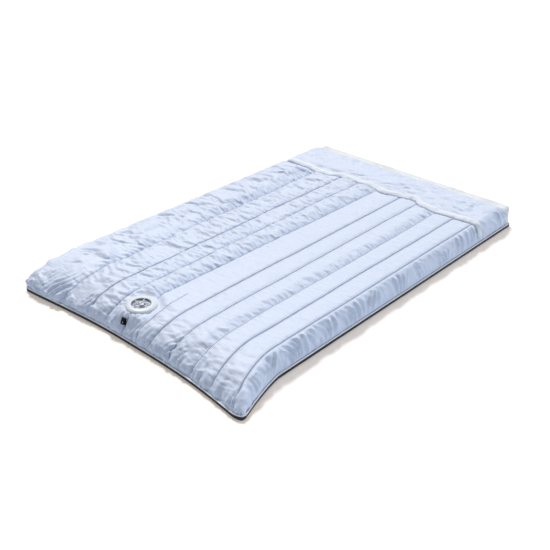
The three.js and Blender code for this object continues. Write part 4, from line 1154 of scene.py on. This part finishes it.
def bead_tree():
    """A round bead that follows a curve, with the small ribs of gathered bias cloth."""
    sizes = {"Radius": 0.003, "Step": 0.003, "Rib": 0.0004, "Rib Pitch": 0.011}
    tree, start, line = path_tree("wrapped_bead", sizes, "Step", seed=5)
    section = add_node(tree, "GeometryNodeCurvePrimitiveCircle", {"Resolution": 10})
    tube = add_node(tree, "GeometryNodeCurveToMesh", {"Fill Caps": True})
    place = add_node(tree, "GeometryNodeInputPosition")
    per_pitch = add_node(tree, "ShaderNodeMath", {0: 1}, operation="DIVIDE")
    ribs = add_node(tree, "ShaderNodeTexNoise", {"Detail": 1}, noise_dimensions="4D")
    centred = add_node(tree, "ShaderNodeMath", {1: 0.65}, operation="SUBTRACT")
    lift = add_node(tree, "ShaderNodeMath", operation="MULTIPLY")
    out = add_node(tree, "GeometryNodeInputNormal")
    push = add_node(tree, "ShaderNodeVectorMath", operation="SCALE")
    moved = add_node(tree, "GeometryNodeSetPosition")
    smooth = add_node(tree, "GeometryNodeSetShadeSmooth")
    join(
        tree,
        (start.outputs["Radius"], section.inputs["Radius"]),
        (line, tube.inputs["Curve"]),
        (section.outputs["Curve"], tube.inputs["Profile Curve"]),
        (start.outputs["Rib Pitch"], per_pitch.inputs[1]),
        (place.outputs[0], ribs.inputs["Vector"]),
        (start.outputs["Seed"], ribs.inputs["W"]),
        (per_pitch.outputs[0], ribs.inputs["Scale"]),
        (ribs.outputs["Fac"], centred.inputs[0]),
        (centred.outputs[0], lift.inputs[0]),
        (start.outputs["Rib"], lift.inputs[1]),
        (out.outputs[0], push.inputs[0]),
        (lift.outputs[0], push.inputs["Scale"]),
        (tube.outputs["Mesh"], moved.inputs["Geometry"]),
        (push.outputs[0], moved.inputs["Offset"]),
        (moved.outputs[0], smooth.inputs["Geometry"]),
    )
    return finish_path_tree(tree, start, smooth.outputs[0])


STITCH_ROWS = stitch_tree()
WRAPPED_BEAD = bead_tree()


def along_paths(name, paths, tree, values):
    """Runs a tree over polylines in pattern millimetres, and keeps a plain mesh."""
    curve = bpy.data.curves.new(name + "_path", "CURVE")
    curve.dimensions = "3D"
    for path in paths:
        spline = curve.splines.new("POLY")
        spline.points.add(len(path) - 1)
        placed = (np.asarray(path, float) + SHIFT) * MM
        spline.points.foreach_set("co", np.hstack([placed, np.ones((len(path), 1))]).ravel())
    guide = bpy.data.objects.new(name + "_path", curve)
    bpy.context.collection.objects.link(guide)
    modifier = guide.modifiers.new("shape", "NODES")
    modifier.node_group = tree
    for item in tree.interface.items_tree:
        if item.item_type == "SOCKET" and item.in_out == "INPUT" and item.name in values:
            modifier[item.identifier] = values[item.name]
    graph = bpy.context.evaluated_depsgraph_get()
    mesh = bpy.data.meshes.new_from_object(guide.evaluated_get(graph), depsgraph=graph)
    mesh.name = name
    guide.modifiers.remove(modifier)
    bpy.data.objects.remove(guide)
    piece = bpy.data.objects.new(name, mesh)
    bpy.context.collection.objects.link(piece)
    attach(piece, "pad")
    return piece


def stitch_along(name, paths, pitch, length, thread):
    """Stitches of one pitch, length and thickness in millimetres along each path."""
    values = {"Pitch": pitch * MM, "Length": length * MM, "Thread": thread * MM, "Finish": SEAM_THREAD_PAINTED_SHADE}
    along_paths(name, paths, STITCH_ROWS, values)


# Trim.

def hem_path(outward, height, spacing=3.0):
    """The hem's line from the left head corner round the foot to the right one, moved outwards."""
    rows = dense_rows(spacing)
    ends = np.full_like(rows, HEM_HALF_WIDTH)
    left, _ = cover_surface(-ends, head_stretch(-ends, rows), 0)
    right, _ = cover_surface(ends, head_stretch(ends, rows), 0)
    across = np.linspace(-HEM_HALF_WIDTH, HEM_HALF_WIDTH, 360)[1:-1]
    foot, _ = cover_surface(across, np.zeros_like(across), 0)
    path = np.concatenate([left[::-1], foot, right])
    least_step = 0.4
    apart = np.linalg.norm(np.diff(path[:, :2], axis=0), axis=1) > least_step
    path = path[np.concatenate([[True], apart])]
    ahead = np.gradient(path[:, :2], axis=0)
    ahead /= np.linalg.norm(ahead, axis=1, keepdims=True)
    out = np.stack([ahead[:, 1], -ahead[:, 0]], -1)
    moved = path[:, :2] + out * outward
    return np.column_stack([moved, np.full(len(moved), height)])


def make_piping():
    """The near-white piping: a cord wrapped in cloth, along the hem."""
    path = hem_path(PIPING_RADIUS + PIPING_GAP, HEM_HEIGHT)
    values = {
        "Radius": PIPING_RADIUS * MM,
        "Step": 3.2 * MM,
        "Rib": 0.4 * MM,
        "Rib Pitch": 12 * MM,
        "Seed": 5,
        "Finish": PIPING_CLOTH,
    }
    piece = along_paths("hem_piping_cloth", [path], WRAPPED_BEAD, values)
    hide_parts("hem_piping")


def seam_paths():
    """Each sewn line as it lies in its valley or on its bank's crest, a little over the cloth.

    The lines stop at the fan's ring and above the panel.
    """
    paths = []
    rows = np.arange(STITCH_START, CROSS_SEAM + 14, PATH_SPACING)
    banked = [place for place, depth, _ in BANKS if depth > BANK_WITH_CREST]
    for place, line in enumerate(SEAM_LINES[1:-1], 1):
        reach = rows[rows < cross_seam(np.array(line))]
        up = step((reach - 20) / 100)
        # On banked seams the dark thread sits on the crest, where it shows as a painted shade line for
        # the groove.
        beside = np.full_like(reach, CREST_OFFSET) if place in banked else -1.3 - 0.9 * up
        points, normals = surface_at(line + beside, reach)
        points = points + normals * (1 - up)[:, None]
        by_panel = (np.abs(line - FAN_PLACE[0]) <= 20) & (reach <= 90)
        clear = (from_fan(line, reach) > FAN_CLEAR + 2) & ~by_panel
        edges = np.flatnonzero(np.diff(clear.astype(int))) + 1
        for run in np.split(np.arange(len(reach)), edges):
            if len(run) > 3 and clear[run[0]]:
                paths.append((points + normals * STITCH_LIFT)[run])
    dart = np.arange(STITCH_START, DART_LENGTH - 4, PATH_SPACING)
    across = np.linspace(-HEM_HALF_WIDTH + 2, HEM_HALF_WIDTH - 2, 420)
    for x, y in ((np.full_like(dart, DART_PLACE), dart), (across, cross_seam(across))):
        points, normals = surface_at(x, y)
        paths.append(points + normals * STITCH_LIFT)
    return paths


def make_stitches():
    """The thread of every seam of the cover, dark and nearly 2 mm thick, so that it also paints the
    shade of the seam grooves.
    """
    stitch_along("seam_stitches_painted_shade", seam_paths(), pitch=4.6, length=3.9, thread=1.9)


def make_tape():
    """The tape over the cross seam: a thin strip that dips into the same puckers as the cloth, its cloth
    painted lighter than the quilt as a painted highlight.
    """
    across = COLUMNS[np.abs(COLUMNS) < HEM_HALF_WIDTH - 1]
    shares = np.array([0, 0.06, 0.25, 0.5, 0.75, 0.94, 1])
    x, share = np.meshgrid(across, shares)
    points, normals = surface_at(x, cross_seam(x) + TAPE_START + TAPE_WIDTH * share)
    ease = np.clip(4 * share * (1 - share), 0, 1) ** 0.5
    swell = ease * (0.5 + 0.5 * billow(x / 14, share * 1.2, 81))
    top = points + normals * (0.5 + TAPE_THICKNESS * (0.4 + 0.6 * ease) + swell)[..., None]
    piece = two_skins("head_tape_cloth", top, points + normals * 0.2, TAPE_CLOTH_PAINTED_HIGHLIGHT)
    with editing(piece.data) as work:
        bmesh.ops.bridge_loops(work, edges=open_edges(work))
        bmesh.ops.recalc_face_normals(work, faces=work.faces)
    smooth_faces(piece.data)
    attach(piece, "pad")
    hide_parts("head_seam_tape")
    thread_rows = [top[row] + normals[row] * STITCH_LIFT for row in (1, -2)]
    stitch_along("tape_stitches", thread_rows, pitch=4.2, length=3.0, thread=0.6)


def make_underside():
    """The near-black sheet under the pad, flat where it rests and turned up to the piping: a real sheet
    whose near-black colour under the hem is also painted shadow of the gap there.
    """
    loop = hem_path(outward=0, height=0, spacing=8.0)[:, :2]
    turned_up_rings = 4
    rings = []
    for place, (inward, height) in enumerate(UNDERSIDE_LEVELS):
        x = loop[:, 0] * (1 - inward / HEM_HALF_WIDTH)
        y = loop[:, 1] + inward * np.clip(1 - loop[:, 1] / FOOT_FALL, 0, 1)
        swell = math.sin(math.pi * min(1, place / turned_up_rings))
        wave = 0.7 * smooth_noise(x / 40, y / 40, 91) * swell
        heights = np.full(len(x), height) + np.abs(wave) * 0.4
        rings.append(np.column_stack([x - wave * 0.5, y - wave * 0.5, heights]))
    count, size = len(rings), len(loop)
    faces = [face[::-1] for face in grid_faces(count, size)]
    piece = add_piece("underside_cloth_painted_shadow", np.concatenate(rings), faces, UNDER_CLOTH_PAINTED_SHADOW)
    with editing(piece.data) as work:
        work.verts.ensure_lookup_table()
        last = [work.verts[(count - 1) * size + place] for place in range(size)]
        bmesh.ops.triangulate(work, faces=[work.faces.new(last)])
        bmesh.ops.recalc_face_normals(work, faces=work.faces)
        lowest = min(work.faces, key=lambda face: face.calc_center_median().z)
        if lowest.normal.z > 0:
            bmesh.ops.reverse_faces(work, faces=work.faces)
    solidify = piece.modifiers.new("cloth", "SOLIDIFY")
    solidify.thickness = UNDERSIDE_THICKNESS * MM
    solidify.offset = -1
    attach(piece, "pad")
    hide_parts("underside_sheet")


# The mesh core.

def edge_drop(distance, radius):
    """How far a rounded edge lies below its face, at a distance from the end."""
    share = np.clip(1 - distance / radius, 0, 1)
    return radius * (1 - np.sqrt(1 - share**2))


def core_plan(x, y):
    """The core's places in plan, with its two head corners rounded off."""
    inside_x = np.abs(x) - (CORE_HALF_WIDTH - CORE_CORNER)
    inside_y = y - (CORE_END - CORE_CORNER)
    cornered = (inside_x > 0) & (inside_y > 0)
    reach = np.maximum(np.hypot(inside_x, inside_y), 1e-6)
    scale = np.where(cornered, np.maximum(inside_x, inside_y) / reach, 1)
    round_x = np.sign(x) * (CORE_HALF_WIDTH - CORE_CORNER + inside_x * scale)
    round_y = CORE_END - CORE_CORNER + inside_y * scale
    return np.where(cornered, round_x, x), np.where(cornered, round_y, y)


def core_grid():
    """Places over the core, closer together at its sides and where it shows."""
    half, margin = CORE_HALF_WIDTH, 22
    left, right = np.linspace(-half, -half + margin, 9), np.linspace(half - margin, half, 9)
    inner = half - margin - 8
    across = np.concatenate([left, np.linspace(-inner, inner, 110), right])
    shown = np.linspace(COVER_LENGTH - 13, CORE_END, 22)
    return np.meshgrid(across, np.concatenate([CORE_COVERED_ROWS, shown]))


def make_core():
    """The open mesh block in the cover: soft edges, a slightly uneven top, round head corners."""
    x, y = core_grid()
    plan_x, plan_y = core_plan(x, y)
    from_side, from_end = CORE_HALF_WIDTH - np.abs(x), CORE_END - y
    slope = np.interp(y, CORE_SLOPE_ROWS, CORE_SLOPE_HEIGHTS)
    rounding = np.maximum(edge_drop(from_side, CORE_SIDE_ROUND), edge_drop(from_end, CORE_END_ROUND))
    swell = 0.8 * smooth_noise(x / 70, y / 50, 95) + 0.4 * smooth_noise(x / 22, y / 22, 96)
    top = slope - rounding + np.minimum(0, swell - 0.8)
    under = CORE_LOW + edge_drop(np.minimum(from_side, from_end), CORE_UNDER_ROUND)
    upper = np.stack([plan_x, plan_y, top], -1)
    lower = np.stack([plan_x, plan_y, np.minimum(under, top - 2)], -1)
    piece = two_skins("mesh_core_knit", upper, lower, CORE_NET)
    with editing(piece.data) as work:
        made = bmesh.ops.bridge_loops(work, edges=open_edges(work))
        walls = dict.fromkeys(edge for face in made["faces"] for edge in face.edges)
        upright = [edge for edge in walls if abs((edge.verts[0].co - edge.verts[1].co).z) > 10 * MM]
        bmesh.ops.subdivide_edges(work, edges=upright, cuts=7, use_grid_fill=True)
        bmesh.ops.recalc_face_normals(work, faces=work.faces)
    smooth_faces(piece.data)
    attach(piece, "pad")
    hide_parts("mesh_core")


# Fan and panel.

def lathe(name, profile, material, turns=96):
    """A round piece about the fan's upright axis, from a closed outline of radius and height."""
    outline = np.asarray(profile, float)
    angles = np.linspace(0, 2 * math.pi, turns, endpoint=False)
    x = FAN_PLACE[0] + outline[None, :, 0] * np.cos(angles)[:, None]
    y = FAN_PLACE[1] + outline[None, :, 0] * np.sin(angles)[:, None]
    z = np.broadcast_to(outline[None, :, 1], x.shape)
    count = len(outline)
    faces = []
    for turn in range(turns):
        here, there = turn * count, (turn + 1) % turns * count
        for place in range(count):
            after = (place + 1) % count
            faces.append((here + place, there + place, there + after, here + after))
    piece = add_piece(name, np.stack([x, y, z], -1).reshape(-1, 3), faces, material)
    with editing(piece.data) as work:
        bmesh.ops.remove_doubles(work, verts=work.verts, dist=1e-7)
        bmesh.ops.recalc_face_normals(work, faces=work.faces)
    piece.data.set_sharp_from_angle(angle=math.radians(SHARP_ANGLE))
    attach(piece, "pad")
    return piece


def eased(node, name, edge, material, body="pad"):
    """A copy of a rigid CAD piece whose hard edges are eased by a small bevel."""
    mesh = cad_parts[node].data.copy()
    mesh.name = name
    mesh.materials.clear()
    mesh.materials.append(material)
    piece = bpy.data.objects.new(name, mesh)
    bpy.context.collection.objects.link(piece)
    flat_angle = math.radians(2)
    with editing(mesh) as work:
        bmesh.ops.remove_doubles(work, verts=work.verts, dist=1e-6)
        bmesh.ops.dissolve_limit(work, angle_limit=flat_angle, verts=work.verts, edges=work.edges)
    smooth_faces(mesh)
    bevel = piece.modifiers.new("eased_edges", "BEVEL")
    bevel.width = edge * MM
    bevel.segments = 2
    bevel.limit_method = "ANGLE"
    bevel.angle_limit = math.radians(BEVEL_ANGLE)
    bevel.harden_normals = True
    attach(piece, body)
    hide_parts(node)
    return piece


def ring_profile():
    """The white ring's outline: a flat seat, a round outer shoulder and a lip at the opening."""
    crest = bezel_high[2] / MM
    seat = crest - RING_DEPTH
    shoulder = seat + RING_DEPTH - RING_RISE
    outline = [
        (33, seat - 8), (35.5, seat - 8), (35.5, seat - 0.3), (36, seat),
        (RING_RADIUS - 0.6, seat), (RING_RADIUS, seat + 0.4), (RING_RADIUS, shoulder),
    ]
    for angle in np.linspace(0, math.pi / 2, 12):
        radius = RING_RADIUS - RING_INWARD * (1 - math.cos(angle))
        outline.append((radius, shoulder + RING_RISE * math.sin(angle)))
    lip = [(1.8, 0), (0.7, 0.4), (0.1, 1.1), (0, 1.7), (4, 1.7)]
    return outline + [(RING_OPENING + wider, crest - lower) for wider, lower in lip]


def make_fan():
    """The ring round the fan, its guard with a white hub, and the blades."""
    bezel = lathe("fan_bezel_ring", ring_profile(), WHITE_PLASTIC)
    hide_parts("fan_bezel")
    grille = eased("fan_grille", "fan_grille_bars", edge=0.35, material=PALE_PLASTIC)
    grille.data.materials.append(WHITE_PLASTIC)
    for face in grille.data.polygons:
        away = np.hypot(*(np.array(face.center[:2]) - FAN_AXIS)) / MM
        face.material_index = int(away < GRILLE_HUB)
    blades = eased(
        "impeller", "impeller_blades", edge=0.25, material=GREY_PLASTIC, body="rotor"
    )


def make_panel():
    """The black face plate and the rocker on it."""
    eased_pair = (("power_panel", "power_panel_face", "pad"), ("switch_rocker", "rocker_cap", "rocker"))
    for node, name, body in eased_pair:
        piece = eased(node, name, edge=0.3, material=BLACK_PLASTIC, body=body)


def dress_cad():
    """Puts the finishes on the CAD pieces that stay."""
    finishes = {
        "fan_housing": GREY_PLASTIC, "fan_stand": GREY_PLASTIC, "panel_backing": GREY_PLASTIC,
        "motor_board": BOARD, "control_board": BOARD, "rotor_magnet": FERRITE,
        "fan_lead": BLACK_PLASTIC, "socket_sleeve": BLACK_PLASTIC,
    }
    for name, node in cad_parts.items():
        finish = COPPER if name.startswith("stator_coil") else finishes.get(name, STEEL)
        for slot in node.material_slots:
            slot.material = finish
        if not node.material_slots:
            node.data.materials.append(finish)


bpy.context.scene.view_settings.view_transform = "Standard"
place_camera()
lay_floor()
light_world()
for lamp in LAMPS:
    hang_lamp(*lamp)
dress_cad()
make_cover()
make_stitches()
make_tape()
make_piping()
make_underside()
make_core()
make_fan()
make_panel()
